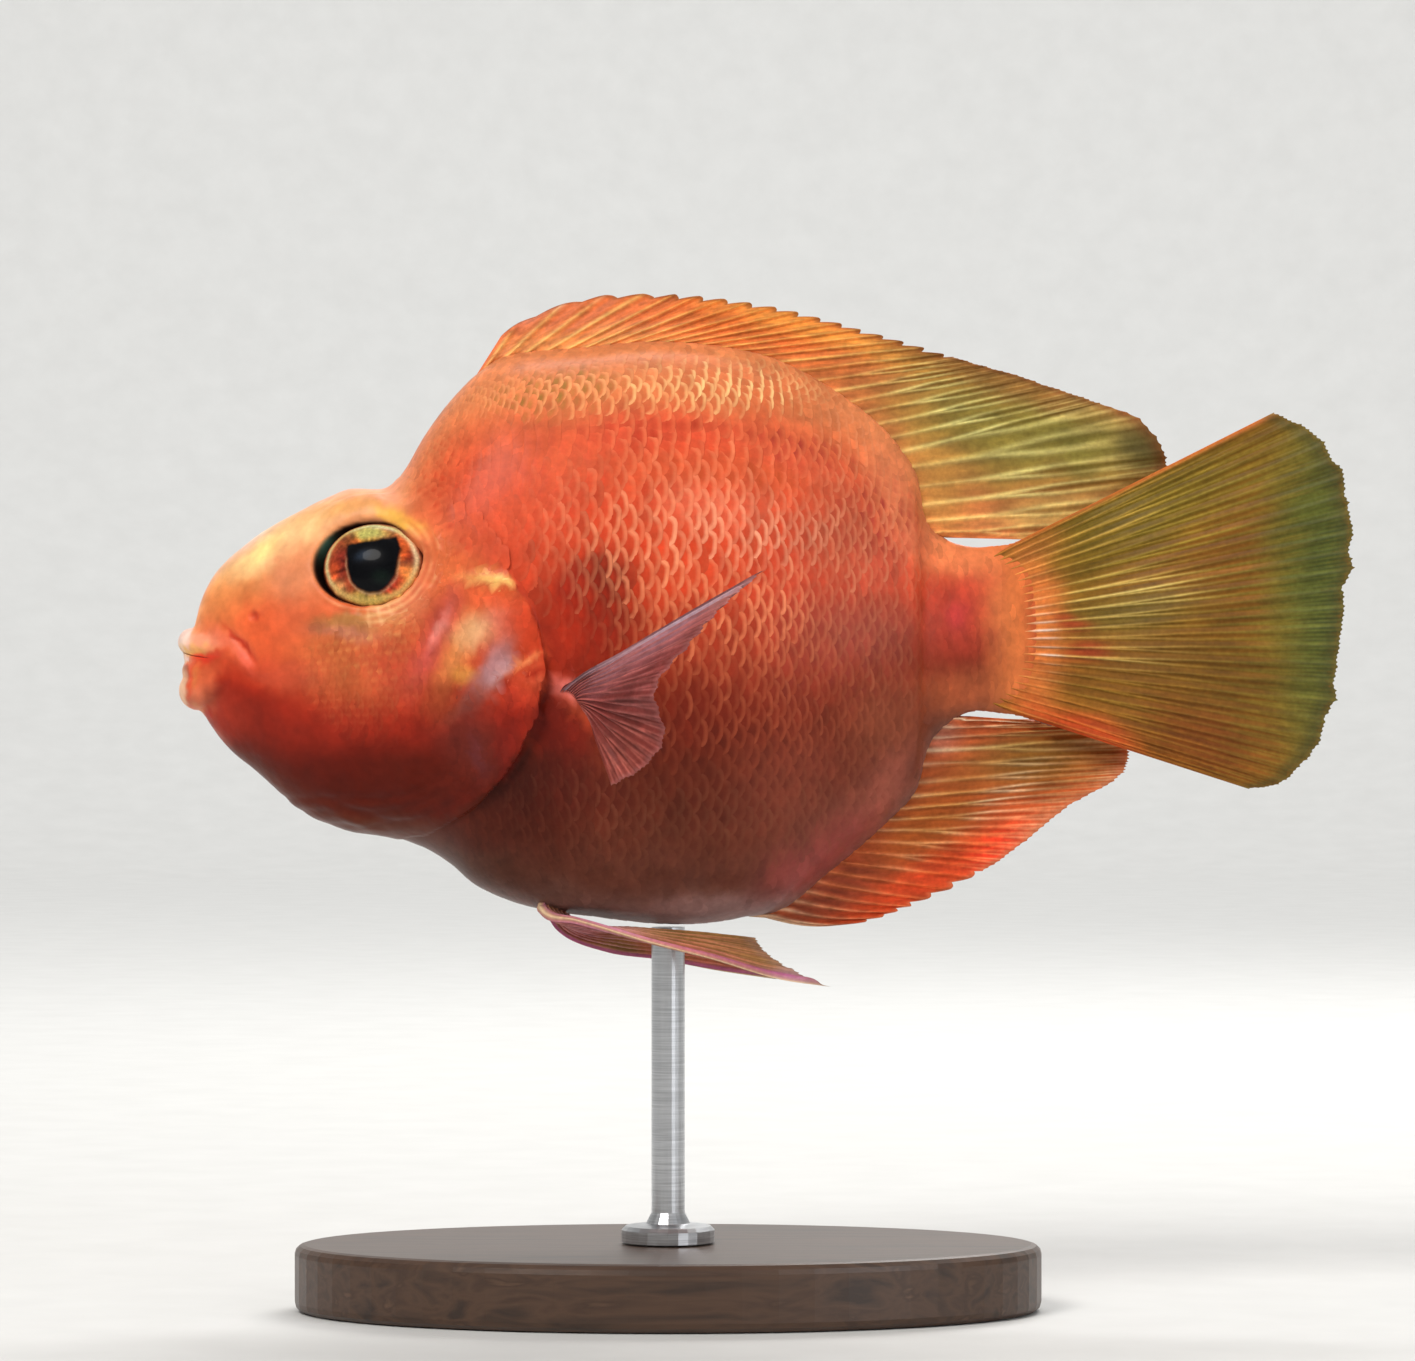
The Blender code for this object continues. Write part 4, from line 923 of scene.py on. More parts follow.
# Scales.  Columns follow the body and rows lie across it, each second row moved
# by half a pitch.  The reference line is the row that runs along the flank.
PITCH = 2.4
ROW_STEP = 2.2
LINE_X = (-90.0, -50.0, -40.0, -20.0, 0.0, 20.0, 36.0)
LINE_Z = (98.0, 106.0, 108.5, 112.0, 112.5, 105.0, 102.0)
SIZE_X = (-70.0, -60.0, -45.0, -38.0, -28.0, -8.0, 4.0, 24.0, 36.0, 44.0)
SIZE = (0.5, 0.56, 0.66, 0.78, 0.98, 0.98, 0.84, 0.74, 0.6, 0.5)
ROW_OVER = ((0.0, 16.0, 44.0), (1.0, 1.0, 0.66))
ROW_UNDER = ((0.0, 20.0, 58.0), (1.0, 1.0, 0.8))
SCALE_RINGS = (0.45, 0.75, 0.92, 1.0)
SCALE_UNDER = 0.96
SCALE_SIDES = 20
SCALE_REAR = 1.1
SCALE_FRONT = 1.15
SCALE_ACROSS = 1.2
SCALE_ROOT = -0.26
SCALE_RIM = 0.17
SCALE_THICK = 0.06
SCALE_CLEAR = 0.03
SCALE_SQUARE = 0.68
BACK_LEVEL = 0.72
BELLY_LEVEL = 0.42
BACK_ROWS = ((7, 10, 14, 18), (1.0, 0.88, 0.78, 0.72))

# Where scales grow.  Ellipses are given by centre and half sizes.  Between the
# levels of the gill cover's free edge, the scales of head and body keep apart.
MIDDLE_BARE = 0.7
EYE_BARE = (0.6, -0.2, 12.4, 10.6)
CHEEK_SCALED = (-57.0, 96.0, 11.5, 10.5)
FACE_BARE = -70.0
OPERCLE_SCALED = (-47.5, 79.0, 112.0)
NAPE_SCALED = (-52.5, 104.0)
GILL_FREE = (72.0, 111.0)
PECTORAL_BARE = [(-29.4, 94.6), (-27.0, 92.2), (-25.4, 89.6)]
PECTORAL_CLEAR = 1.7
BAKE_PATCH = 0.003
BAKE_SPAN = 2.3

# How strongly the scales stand out from the skin: name, x, z, half length, half
# height, tilt and the share of the full relief.
RELIEF = [
    ("back", -14, 141, 34, 4, 0, 0.55),
    ("belly", -5, 64, 40, 12, 0, 0.45),
    ("rear", 28, 102, 14, 18, 0, 0.5),
    ("shoulder", -36, 118, 12, 16, 0, 0.5),
    ("nape", -50, 122, 10, 14, 0, 0.22),
    ("breast", -46, 70, 14, 8, 0, 0.35),
    ("head", -60, 98, 14, 20, 0, 0.3),
    ("opercle", -42, 94, 9, 16, 0, 0.16),
    ("by the gill", -32, 90, 5, 16, 0, 0.5),
]


def lid_lines(colour, rear, up):
    """Painted highlight on the rings of skin behind and under the eye, painted shade between them."""
    r, bearing = socket_polar(rear, up)
    blot = noise(np.stack([rear, up, r], axis=-1), 1.7, 51)
    for share, _, first, last in EYE_FOLDS:
        inside = eye_fold_span(bearing, first, last) * np.clip(0.6 + 0.8 * blot, 0.0, 1.0)
        light = 0.42 * inside * np.exp(-((r - share) / 0.04) ** 2)
        dark = 0.4 * inside * np.exp(-((r - share - 0.075) / 0.04) ** 2)
        colour = blend(blend(colour, LID_LIGHT, light), LID_SHADE, dark)
    under = (1.0 - smooth_step(bearing, -70.0, -30.0)) * smooth_step(bearing, -115.0, -95.0)
    rays = (0.5 + 0.5 * np.cos(math.radians(1.0) * bearing * 30.0)) ** 3
    spread = smooth_step(r, 1.0, 1.1) * (1.0 - smooth_step(r, 1.4, 1.8))
    return blend(colour, LID_LIGHT, 0.4 * under * rays * spread * np.clip(0.7 + blot, 0.0, 1.0))


def paint_socket_shade(colour, point):
    """The folds' lines round the eye, and painted shade in the gap round the eyeball."""
    rear, up, _ = orbit_place(left_side(point))
    r = socket_polar(rear, up)[0]
    colour = np.where((r < 2.0)[..., None], lid_lines(colour, rear, up), colour)
    teal = 0.8 * np.exp(-((rear + 6.6) / 1.8) ** 2 - ((up - 2.6) / 2.8) ** 2)
    gap = blend(np.array(SOCKET_SHADE, float), SOCKET_TEAL, teal)
    gap = blend(gap, SOCKET_WARM, smooth_step(0.8 * rear - 0.6 * up, -1.0, 4.5))
    return blend(colour, gap, 1.0 - smooth_step(r, 0.93, 1.0))


class Lattice:
    """Places on the left flank by column and row of the scales."""

    def __init__(self):
        self.u = np.linspace(0.02, 1.0, 480)
        self.across = np.linspace(-95.0, 95.0, 761)
        self.turns, line = self.trace()
        self.x = line[:, 0]
        run = np.linalg.norm(np.diff(line, axis=0), axis=-1)
        size = np.interp(0.5 * (self.x[1:] + self.x[:-1]), SIZE_X, SIZE)
        self.column = np.concatenate([[0.0], np.cumsum(run / (PITCH * size))])
        rows = np.arange(0.0, 60.0, 0.1)
        self.rows = np.concatenate([-rows[:0:-1], rows])
        under, over = self.spread(rows, ROW_UNDER), self.spread(rows, ROW_OVER)
        self.distance = np.concatenate([-under[:0:-1], over])

    def trace(self):
        """Turns by distance from the reference line at each share, and the line's points."""
        turn = np.linspace(-0.9, math.pi + 0.9, 420)
        inner = (turn > 0.0) & (turn < math.pi)
        points = body_point(self.u[:, None], turn[None, :])
        step = np.linalg.norm(np.diff(points, axis=1), axis=-1)
        length = np.concatenate([np.zeros((len(self.u), 1)), np.cumsum(step, axis=1)], axis=1)
        turns, line = [], []
        for row, run in zip(points, length):
            gap = np.interp(row[inner, 0], LINE_X, LINE_Z) - row[inner, 2]
            start = np.interp(0.0, gap, turn[inner])
            across = np.interp(start, turn, run) - run
            turns.append(np.interp(self.across, across[::-1], turn[::-1]))
            line.append([np.interp(start, turn, row[:, c]) for c in range(3)])
        return np.array(turns), np.array(line)

    def spread(self, rows, table):
        """Distance from the line at each row, on one side of it."""
        distance = [0.0]
        for step in np.diff(rows):
            distance.append(distance[-1] + ROW_STEP * step * np.interp(distance[-1], *table))
        return np.array(distance)

    def place(self, column, row):
        """Share of the length and turn at lattice places."""
        u = np.interp(column, self.column, self.u)
        size = np.interp(np.interp(column, self.column, self.x), SIZE_X, SIZE)
        across = np.interp(row, self.rows, self.distance) * size
        i = np.clip((u - self.u[0]) / (self.u[1] - self.u[0]), 0.0, len(self.u) - 1.001)
        j = np.clip((across - self.across[0]) / (self.across[1] - self.across[0]), 0.0,
                    len(self.across) - 1.001)
        i0, j0 = i.astype(int), j.astype(int)
        fi, fj = i - i0, j - j0
        turn = ((1 - fi) * (1 - fj) * self.turns[i0, j0] + fi * (1 - fj) * self.turns[i0 + 1, j0]
                + (1 - fi) * fj * self.turns[i0, j0 + 1] + fi * fj * self.turns[i0 + 1, j0 + 1])
        return u, turn


def scale_template():
    """Places in a scale, in pitches and row steps from its centre, and its faces."""
    angle = np.linspace(0.0, 2.0 * math.pi, SCALE_SIDES, endpoint=False)
    cosine, sine = np.cos(angle), np.sin(angle)
    reach = np.where(cosine > 0.0, SCALE_REAR, SCALE_FRONT)
    power = np.where(cosine > 0.0, SCALE_SQUARE, 1.0)
    along, across, radius = [0.0], [0.0], [0.0]
    for r in SCALE_RINGS + (SCALE_UNDER,):
        along.extend(r * np.sign(cosine) * np.abs(cosine) ** power * reach)
        across.extend(r * np.sign(sine) * np.abs(sine) ** power * SCALE_ACROSS)
        radius.extend([r] * SCALE_SIDES)
    along.append(0.0)
    across.append(0.0)
    radius.append(0.0)
    ring = np.arange(SCALE_SIDES)
    after = np.roll(ring, -1)
    faces = [np.stack([np.zeros_like(ring), 1 + ring, 1 + after], axis=-1)]
    for k in range(len(SCALE_RINGS)):
        a, b = 1 + k * SCALE_SIDES, 1 + (k + 1) * SCALE_SIDES
        faces.append(np.stack([a + ring, b + ring, b + after], axis=-1))
        faces.append(np.stack([a + ring, b + after, a + after], axis=-1))
    under = 1 + len(SCALE_RINGS) * SCALE_SIDES
    faces.append(np.stack([np.full_like(ring, under + SCALE_SIDES), under + after, under + ring], axis=-1))
    return np.array(along), np.array(across), np.array(radius), np.concatenate(faces)


def sharpen_rims(mesh, size):
    """Crease each scale along its rim, so its face is lit evenly up to the edge."""
    edges = np.empty(len(mesh.edges) * 2, np.int32)
    mesh.edges.foreach_get("vertices", edges)
    place = edges.reshape(-1, 2) % size
    first = 1 + (len(SCALE_RINGS) - 1) * SCALE_SIDES
    rim = ((place >= first) & (place < first + SCALE_SIDES)).all(axis=1)
    layer = mesh.attributes.new(name="sharp_edge", type="BOOLEAN", domain="EDGE")
    layer.data.foreach_set("value", rim)


def within(x, z, ellipse):
    """Whether places lie inside an ellipse."""
    middle_x, middle_z, half_x, half_z = ellipse
    return np.hypot((x - middle_x) / half_x, (z - middle_z) / half_z) < 1.0


def scale_places(lattice):
    """Columns and rows of all scales of one flank, with what they grow on."""
    columns = np.arange(0, 1.5 * int(lattice.column[-1]) + 1)
    rows = np.arange(-45, 46)
    column, row = np.meshgrid(columns, rows, indexing="ij")
    column = column + 0.5 * (row % 2)
    column, row = column.ravel().astype(float), row.ravel().astype(float)
    pitch = np.interp(row, *BACK_ROWS)
    inside = column * pitch < lattice.column[-1]
    column, row, pitch = column[inside], row[inside], pitch[inside]
    u, turn = lattice.place(column * pitch, row)
    point = body_point(u, np.clip(turn, 0.0, math.pi))
    x, y, z = point.T
    size = np.interp(x, SIZE_X, SIZE)
    keep = (turn > 0.02) & (turn < math.pi - 0.02) & (-y > MIDDLE_BARE) & (u < 0.992)
    socket_rear, socket_up, _ = orbit_place(point)
    keep &= ~within(socket_rear, socket_up, EYE_BARE)
    ahead = -behind_gill(x, z)
    free = (z > GILL_FREE[0]) & (z < GILL_FREE[1])
    on_head = ahead > np.where(free, 2.3 * size + 0.3, 0.0)
    on_body = ahead < np.where(free, 0.6, 0.0)
    opercle = (x > OPERCLE_SCALED[0]) & (z > OPERCLE_SCALED[1]) & (z < OPERCLE_SCALED[2])
    nape = (x > NAPE_SCALED[0]) & (z > NAPE_SCALED[1])
    face = (within(x, z, CHEEK_SCALED) | opercle | nape) & (x > FACE_BARE)
    keep &= (on_head & face) | on_body
    keep &= line_distance(x, z, PECTORAL_BARE)[0] > PECTORAL_CLEAR
    return (column * pitch)[keep], row[keep], pitch[keep], on_head[keep]


def ragged_scales(along, across, count, draw):
    """Each scale's outline and centre, turned, stretched and moved a little."""
    swing = draw.normal(0.0, 0.06, count)[:, None]
    stretch = draw.normal(1.0, 0.035, count)[:, None]
    shift = draw.normal(0.0, 0.035, (count, 2))
    wobble = draw.normal(0.0, 1.0, (count, 2))
    angle = np.arctan2(across, along)
    ragged = 1.0 + 0.02 * (wobble[:, :1] * np.sin(3.0 * angle) + wobble[:, 1:] * np.cos(5.0 * angle))
    dx = (along * np.cos(swing) - across * np.sin(swing)) * stretch * ragged
    dy = (across * np.cos(swing) + along * np.sin(swing)) * stretch * ragged
    return dx, dy, shift


def scale_heights(dx, radius, centre, draw):
    """Height of each scale's places over the skin: sunk at the root, raised at the rim."""
    full = paint(np.ones((len(centre), 1)), centre[:, 0], centre[:, 2],
                 [patch[:6] + ((patch[6],), 1.0) for patch in RELIEF])[:, 0]
    relief = np.interp(centre[:, 0], SIZE_X, SIZE) * full * draw.normal(1.0, 0.1, len(centre))
    share = (dx + SCALE_FRONT) / (SCALE_FRONT + SCALE_REAR)
    slope = smooth_step(share, 0.0, 1.0) * 0.4 + 0.6 * np.clip(share, 0.0, 1.0)
    height = SCALE_ROOT + (SCALE_RIM - SCALE_ROOT) * slope + 0.1 * (1.0 - radius**2) - 0.05
    under = np.zeros(len(radius))
    under[1 + len(SCALE_RINGS) * SCALE_SIDES:] = SCALE_THICK
    return height * relief[:, None] - under * relief[:, None] + SCALE_CLEAR


def strongest(patches, point):
    """Colour and strength of some patches at each point."""
    x, z = point[:, 0], point[:, 2]
    tint = np.zeros((len(x), 3))
    strength = np.zeros(len(x))
    for patch in patches:
        share = paint(np.zeros((len(x), 1)), x, z, [patch[:6] + ((1.0,), patch[7])])[:, 0]
        tint = blend(tint, patch[6], share / np.maximum(strength + share, 1e-6))
        strength = np.maximum(strength, share)
    return tint, strength


def uneven(strength, spread, draw):
    """Strengths made uneven from scale to scale."""
    return np.clip(strength * (1.0 + spread * draw.normal(0.0, 1.0, len(strength))), 0.0, 1.0)


def scale_colours(points, dx, dy, rear, on_head, draw):
    """Colour of each place of the scales, and colour and strength of each light arc."""
    core = np.exp(-(((dx - 0.42) / 0.42) ** 2 + (dy / 0.62) ** 2) ** 1.5)
    dot = np.exp(-(((dx - 0.6) / 0.5) ** 2 + (dy / 0.34) ** 2))
    spot, strength = strongest(SPOTS, rear)
    dapple = uneven(strength, 0.45, draw)
    tone = blend(markings(points), spot[:, None, :],
                 np.where(on_head[:, None], dot, core) * dapple[:, None])
    tone *= draw.normal(1.0, 0.03, (len(rear), 1, 1))
    glint, strength = strongest(GLINTS, rear)
    return tone, glint, uneven(strength, 0.35, draw)


def bake_map(obj, places):
    """The map OFBake, from a place for each point."""
    layer = obj.data.uv_layers.new(name="OFBake")
    corner = np.empty(len(obj.data.loops), np.int32)
    obj.data.loops.foreach_get("vertex_index", corner)
    layer.data.foreach_set("uv", places.reshape(-1, 2)[corner].astype(np.float32).ravel())


def grow_scales(lattice, side, material):
    """Overlapping scales over one flank, in pieces of limited size."""
    draw = np.random.default_rng(RANDOM_SEED + (1 if side > 0 else 2))
    column, row, pitch, on_head = scale_places(lattice)
    along, across, radius, faces = scale_template()
    dx, dy, shift = ragged_scales(along, across, len(column), draw)
    u, turn = lattice.place(column[:, None] + (shift[:, :1] + dx) * pitch[:, None],
                            row[:, None] + shift[:, 1:] + dy)
    u = np.clip(u, 0.0, 1.0)
    ground = body_point(u, turn)
    flat = left_side(ground)
    lift = np.where(on_head[:, None], head_lift(flat), torso_lift(flat))
    u_root, turn_root = lattice.place(column, row)
    centre = body_point(u_root, turn_root)
    lift = lift + scale_heights(dx, radius, centre, draw)
    points = ground + body_normal(u, turn) * lift[..., None]
    rear = body_point(*lattice.place(column + 0.5, row))
    tone, glint, shine = scale_colours(points, dx, dy, rear, on_head, draw)
    rim = radius * smooth_step(np.cos(np.arctan2(across, along)), -0.1, 0.5)
    places = np.stack([0.01 + 0.98 * u_root[:, None] + dx / BAKE_SPAN * BAKE_PATCH,
                       0.5 + 0.49 * side * turn_root[:, None] / math.pi + dy / BAKE_SPAN * BAKE_PATCH],
                      axis=-1)
    points[..., 1] *= side
    points = tail_swing(points)
    level = body_level(centre)
    on_back, on_belly = level > BACK_LEVEL, level <= BELLY_LEVEL
    groups = {"head": on_head, "back": ~on_head & on_back, "flank": ~on_head & ~on_back & ~on_belly,
              "belly": ~on_head & on_belly}
    for label, chosen in groups.items():
        base = np.arange(int(chosen.sum()))[:, None, None] * len(along)
        index = (base + faces[None]).reshape(-1, 3)[:, ::side]
        name = "scales_%s_%s" % (label, "left" if side > 0 else "right")
        obj = make_object(name, points[chosen], [index], material)
        sharpen_rims(obj.data, len(along))
        set_colour(obj, "tone", tone[chosen].reshape(-1, 3))
        set_colour(obj, "glint", np.repeat(glint[chosen], len(along), axis=0),
                   np.repeat(shine[chosen], len(along)))
        set_value(obj, "rim", np.tile(rim, len(base)))
        bake_map(obj, places[chosen])
        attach(obj, "root")


# Fins.  Margins run as x, z unless a third number gives the distance out from the root.
FIN_GAP = 0.4
FIN_LEAN = 0.17
DORSAL_ROOT = (-41.6, 27.4)
DORSAL_MARGIN = [(-41.3, 143.0), (-39.3, 145.9), (-33.2, 149.6), (-25.6, 151.9), (-14.0, 152.3),
                 (0.0, 150.8), (16.2, 146.7), (32.0, 142.0), (47.9, 137.1), (58.9, 132.2),
                 (61.2, 128.0), (60.0, 123.0), (52.0, 118.8), (40.5, 115.6)]
DORSAL_LEAN = [(-41.6, 0.03), (-36.2, 0.13), (-30.2, 0.21), (-16.7, 0.335), (-1.7, 0.46),
               (13.3, 0.59), (21.5, 0.71), (24.5, 0.84), (27.4, 1.0)]
ANAL_ROOT = (0.5, 31.0)
ANAL_MARGIN = [(4.0, 57.8), (9.0, 57.2), (14.8, 58.0), (24.0, 61.2), (35.0, 67.0),
               (46.0, 75.4), (55.3, 82.5), (55.0, 85.8), (48.0, 87.7), (40.5, 88.4)]
ANAL_LEAN = [(0.5, 0.13), (8.0, 0.26), (11.8, 0.36), (16.3, 0.48), (20.8, 0.63),
             (24.0, 0.74), (26.8, 0.87), (31.0, 1.0)]
ANAL_BOW = 0.8
CAUDAL_MARGIN = [(76.4, 134.4), (80.8, 132.1), (85.2, 127.4), (87.5, 119.7), (87.2, 108.9),
                 (85.9, 97.9), (84.8, 90.2), (81.6, 83.2), (76.6, 78.9), (72.7, 78.2)]
CAUDAL_SWING = 7.5
CAUDAL_END = 87.5
PECTORAL_ROOT = [(-28.6, 93.9), (-27.0, 92.4), (-25.8, 90.6)]
PECTORAL_TIPS = [(0.2, 110.4, 9.0), (-4.6, 106.4, 14.0), (-9.8, 100.6, 18.5), (-15.6, 92.4, 20.0),
                 (-14.2, 86.6, 17.5), (-17.4, 81.7, 14.0), (-22.0, 79.2, 10.5)]
PECTORAL_NECK = 2.4
PELVIC_ROOT_OUTER = (-33.2, 5.6)
PELVIC_ROOT_INNER = (-29.4, 2.6)
PELVIC_LEFT = [(-27.9, 58.9, 7.8), (-17.5, 55.9, 10.4), (-6.8, 53.1, 12.2), (3.0, 50.2, 13.6),
               (10.0, 49.2, 14.0)]
PELVIC_LEFT_INNER = [(-19.0, 57.2, 4.6), (-9.0, 56.8, 6.4), (-1.0, 56.2, 8.0)]
PELVIC_RIGHT = [(-31.0, 57.2, 7.4), (-23.5, 53.4, 9.6), (-15.4, 52.1, 10.9), (-6.8, 50.4, 12.0),
                (2.3, 49.0, 12.6)]
PELVIC_RIGHT_INNER = [(-19.0, 56.2, 4.6), (-10.0, 55.2, 6.0), (-3.6, 54.2, 7.2)]
PELVIC_OUTER_PULL = 0.22
PELVIC_NECK = 1.0

# How deep the foot of each kind of fin is sunk in the body, as points, share of the
# fin's reach and millimetres, and how deep the webs of spines and rays are notched.
SUNK_ROWS = 3
MEDIAN_SUNK = 0.12
MEDIAN_FOOT = 2.6
DORSAL_NOTCHES = (0.075, 0.008)
ANAL_NOTCHES = (0.07, 0.012)
CAUDAL_SUNK = 0.06
PECTORAL_SUNK = 0.06
PECTORAL_FOOT = 1.6
PELVIC_SUNK = 0.05
PELVIC_FOOT = 2.0

# Rays of each fin, how many of them are spines, points across a ray, and rows.
DORSAL_RAYS = (29, 17, 12, 54)
ANAL_RAYS = (19, 7, 12, 54)
CAUDAL_RAYS = (24, 0, 14, 96)
PECTORAL_RAYS = (14, 0, 12, 64)
PELVIC_RAYS = (6, 1, 14, 96)

DORSAL_WEB = [
    ("front", -30, 148, 18, 6, 10, (204, 110, 64), 1),
    ("front root", -26, 145, 14, 2, 4, (226, 146, 84), 0.85),
    # Painted highlight near the tips of the front spines.
    ("front tip", -34, 150.5, 8, 1.6, 25, (232, 150, 132), 0.8),
    ("middle", 2, 148, 18, 5, -12, (210, 110, 50), 0.9),
    ("yellow run", 10, 146, 20, 2, -18, (236, 176, 78), 0.5),
    ("soft", 36, 132, 18, 9, -20, (128, 112, 50), 1),
    ("green", 50, 130, 9, 5, -20, (112, 108, 46), 0.8),
    ("dark tips", 57, 129.5, 4.5, 3.6, -40, (72, 66, 34), 0.85),
    ("brown edge", 34, 140, 14, 2, -20, (120, 80, 36), 0.7),
    ("hinder root", 26, 124, 4, 8, 20, (190, 140, 66), 0.7),
    ("pale end", 44, 119.5, 10, 2.2, 8, (176, 160, 92), 0.6),
]
DORSAL_BONE = [
    ("front", -30, 147, 18, 7, 10, (236, 188, 112), 1),
    # Painted highlights on the tips of the front spines.
    ("tips", -30, 151.6, 16, 1.2, 10, (248, 206, 190), 0.9),
    ("middle", 4, 148, 18, 6, -12, (238, 176, 92), 1),
    ("soft", 36, 132, 20, 11, -20, (216, 206, 130), 1),
    ("brown streaks", 36, 139.6, 11, 2, -20, (130, 76, 34), 0.6),
    ("dark tips", 58, 129.5, 4, 4.4, -40, (88, 84, 44), 0.8),
]
ANAL_WEB = [
    ("root", 18, 78, 8, 3.4, 48, (182, 84, 44), 0.9),
    ("front", 10, 62.5, 9, 4, 28, (140, 62, 42), 0.9),
    ("middle", 26, 73, 9, 5, 40, (146, 74, 30), 0.95),
    ("foot", 26, 65, 16, 3, 30, (196, 66, 34), 0.85),
    ("bright tips", 36, 69.5, 5, 2.4, 38, (226, 56, 34), 0.85),
    ("pink margin", 42, 73, 6, 1.8, 36, (200, 110, 74), 0.4),
    ("rear", 42, 83, 11, 4, 8, (116, 80, 32), 0.9),
    ("lilac root", 27, 87, 3, 3, 0, (180, 116, 104), 0.6),
]
ANAL_BONE = [
    ("front edge", 6, 58.4, 9, 1.6, 8, (242, 222, 190), 0.9),
    ("front", 14, 66, 10, 6, 36, (200, 108, 66), 1),
    ("foot", 28, 66.5, 16, 3.4, 32, (240, 112, 60), 1),
    ("middle", 28, 76, 9, 4, 40, (196, 136, 70), 0.9),
    ("rear", 40, 85, 9, 3, 10, (182, 142, 74), 0.9),
    ("rear end", 48, 81, 8, 4, 30, (160, 106, 56), 0.9),
]
CAUDAL_WEB = [
    ("whole", 62, 104, 40, 40, 0, (128, 84, 30), 1),
    ("upper", 54, 119, 22, 7, 27, (108, 90, 26), 0.9),
    ("upper edge", 54, 125.5, 20, 1.6, 27, (188, 98, 44), 0.8),
    ("root", 40.4, 102, 4.6, 14, 0, (212, 118, 60), 0.95),
    ("olive", 56, 105, 10, 3, 8, (98, 88, 34), 0.7),
    ("red patch", 46.5, 103, 3, 1.3, 0, (152, 52, 32), 0.7),
    ("red patch low", 48.5, 98.4, 3, 1.5, 0, (146, 48, 30), 0.7),
    ("middle red", 68, 112, 12, 5, 8, (136, 88, 34), 0.5),
    ("lower", 48, 86.6, 9, 2.4, -22, (192, 70, 34), 0.85),
    ("lower middle", 67, 95, 12, 8, 0, (98, 70, 25), 0.6),
    ("lower end", 66, 85, 9, 5, -22, (114, 60, 24), 0.8),
    ("outer", 83, 108, 6, 28, 0, (96, 106, 46), 0.9),
    ("outer dark", 80, 116, 5, 10, 0, (66, 76, 32), 0.5),
]
CAUDAL_BONE = [
    ("whole", 62, 104, 40, 40, 0, (150, 114, 42), 1),
    ("upper edge", 54, 125, 22, 2.6, 27, (214, 122, 60), 0.9),
    ("upper green", 60, 119, 16, 7, 27, (150, 140, 52), 0.6),
    ("upper gold", 50, 116.4, 9, 2.2, 24, (222, 178, 88), 0.8),
    ("cream", 55, 107, 11, 3.4, 6, (244, 220, 134), 0.9),
    ("cream low", 54, 99, 11, 3.4, -4, (242, 208, 122), 0.85),
    ("lower", 49, 87, 10, 2.8, -22, (220, 108, 54), 0.85),
    ("lower middle", 67, 95, 12, 8, 0, (118, 86, 34), 0.6),
    ("lower end", 68, 85, 9, 5, -22, (134, 80, 34), 0.8),
    ("root", 40.4, 102, 4.6, 14, 0, (232, 146, 82), 0.95),
    ("blue white", 42.6, 100.6, 1.8, 4.4, 20, (222, 224, 232), 0.85),
    ("outer olive", 76, 106, 8, 30, 0, (112, 98, 38), 0.85),
    ("outer", 85, 108, 4.5, 28, 0, (46, 58, 34), 0.9),
]
PECTORAL_WEB = [
    ("whole", -14, 94, 20, 20, 0, (108, 48, 46), 1),
    ("leading strip", -14, 102.6, 14, 2.4, 38, (158, 118, 132), 0.95),
    ("tip", -3, 108, 6, 2.6, 38, (148, 104, 96), 0.7),
    ("lower", -20, 83, 6, 6, 0, (112, 49, 42), 0.8),
]
PECTORAL_BONE = [
    ("whole", -14, 94, 20, 20, 0, (162, 92, 90), 1),
    ("root", -27, 92, 3, 3, 0, (226, 120, 108), 0.9),
    ("lower", -19, 83, 6, 6, 0, (168, 90, 78), 0.8),
]
PELVIC_WEB = [
    ("whole", -10, 55, 40, 20, 0, (132, 98, 54), 1),
    ("root", -27, 58, 5, 3, 0, (128, 48, 44), 0.9),
    ("pink", -12, 53.6, 9, 1.6, -15, (196, 104, 84), 0.7),
    ("end", 6, 49.8, 5, 1.6, -10, (176, 150, 158), 0.8),
]
PELVIC_BONE = [
    ("whole", -10, 55, 40, 20, 0, (200, 130, 96), 1),
    ("spine lilac", -24, 56.6, 8, 2.2, -12, (214, 156, 176), 0.9),
    ("spine pink", -9, 52.8, 8, 1.8, -15, (232, 134, 120), 0.9),
    ("end", 6, 49.6, 5, 1.4, -10, (198, 180, 190), 0.85),
]
# Colours of the margin, and of bands along the first rays: colour, ray and width.
DORSAL_EDGE = (96, 56, 30)
DORSAL_LEAD = [((226, 120, 78), 0.0, 0.32)]
ANAL_EDGE = (200, 122, 86)
ANAL_LEAD = [((236, 210, 176), 0.0, 0.32)]
CAUDAL_EDGE = (62, 66, 42)
CAUDAL_LEAD = [((202, 106, 50), 0.0, 0.3)]
PECTORAL_EDGE = (150, 92, 90)
PECTORAL_LEAD = [((176, 154, 168), 1.1, 0.75), ((58, 22, 24), 0.0, 0.5)]
PELVIC_EDGE = (150, 120, 110)
PELVIC_LEAD = [((190, 104, 152), 0.75, 0.5), ((238, 208, 170), 0.0, 0.3)]

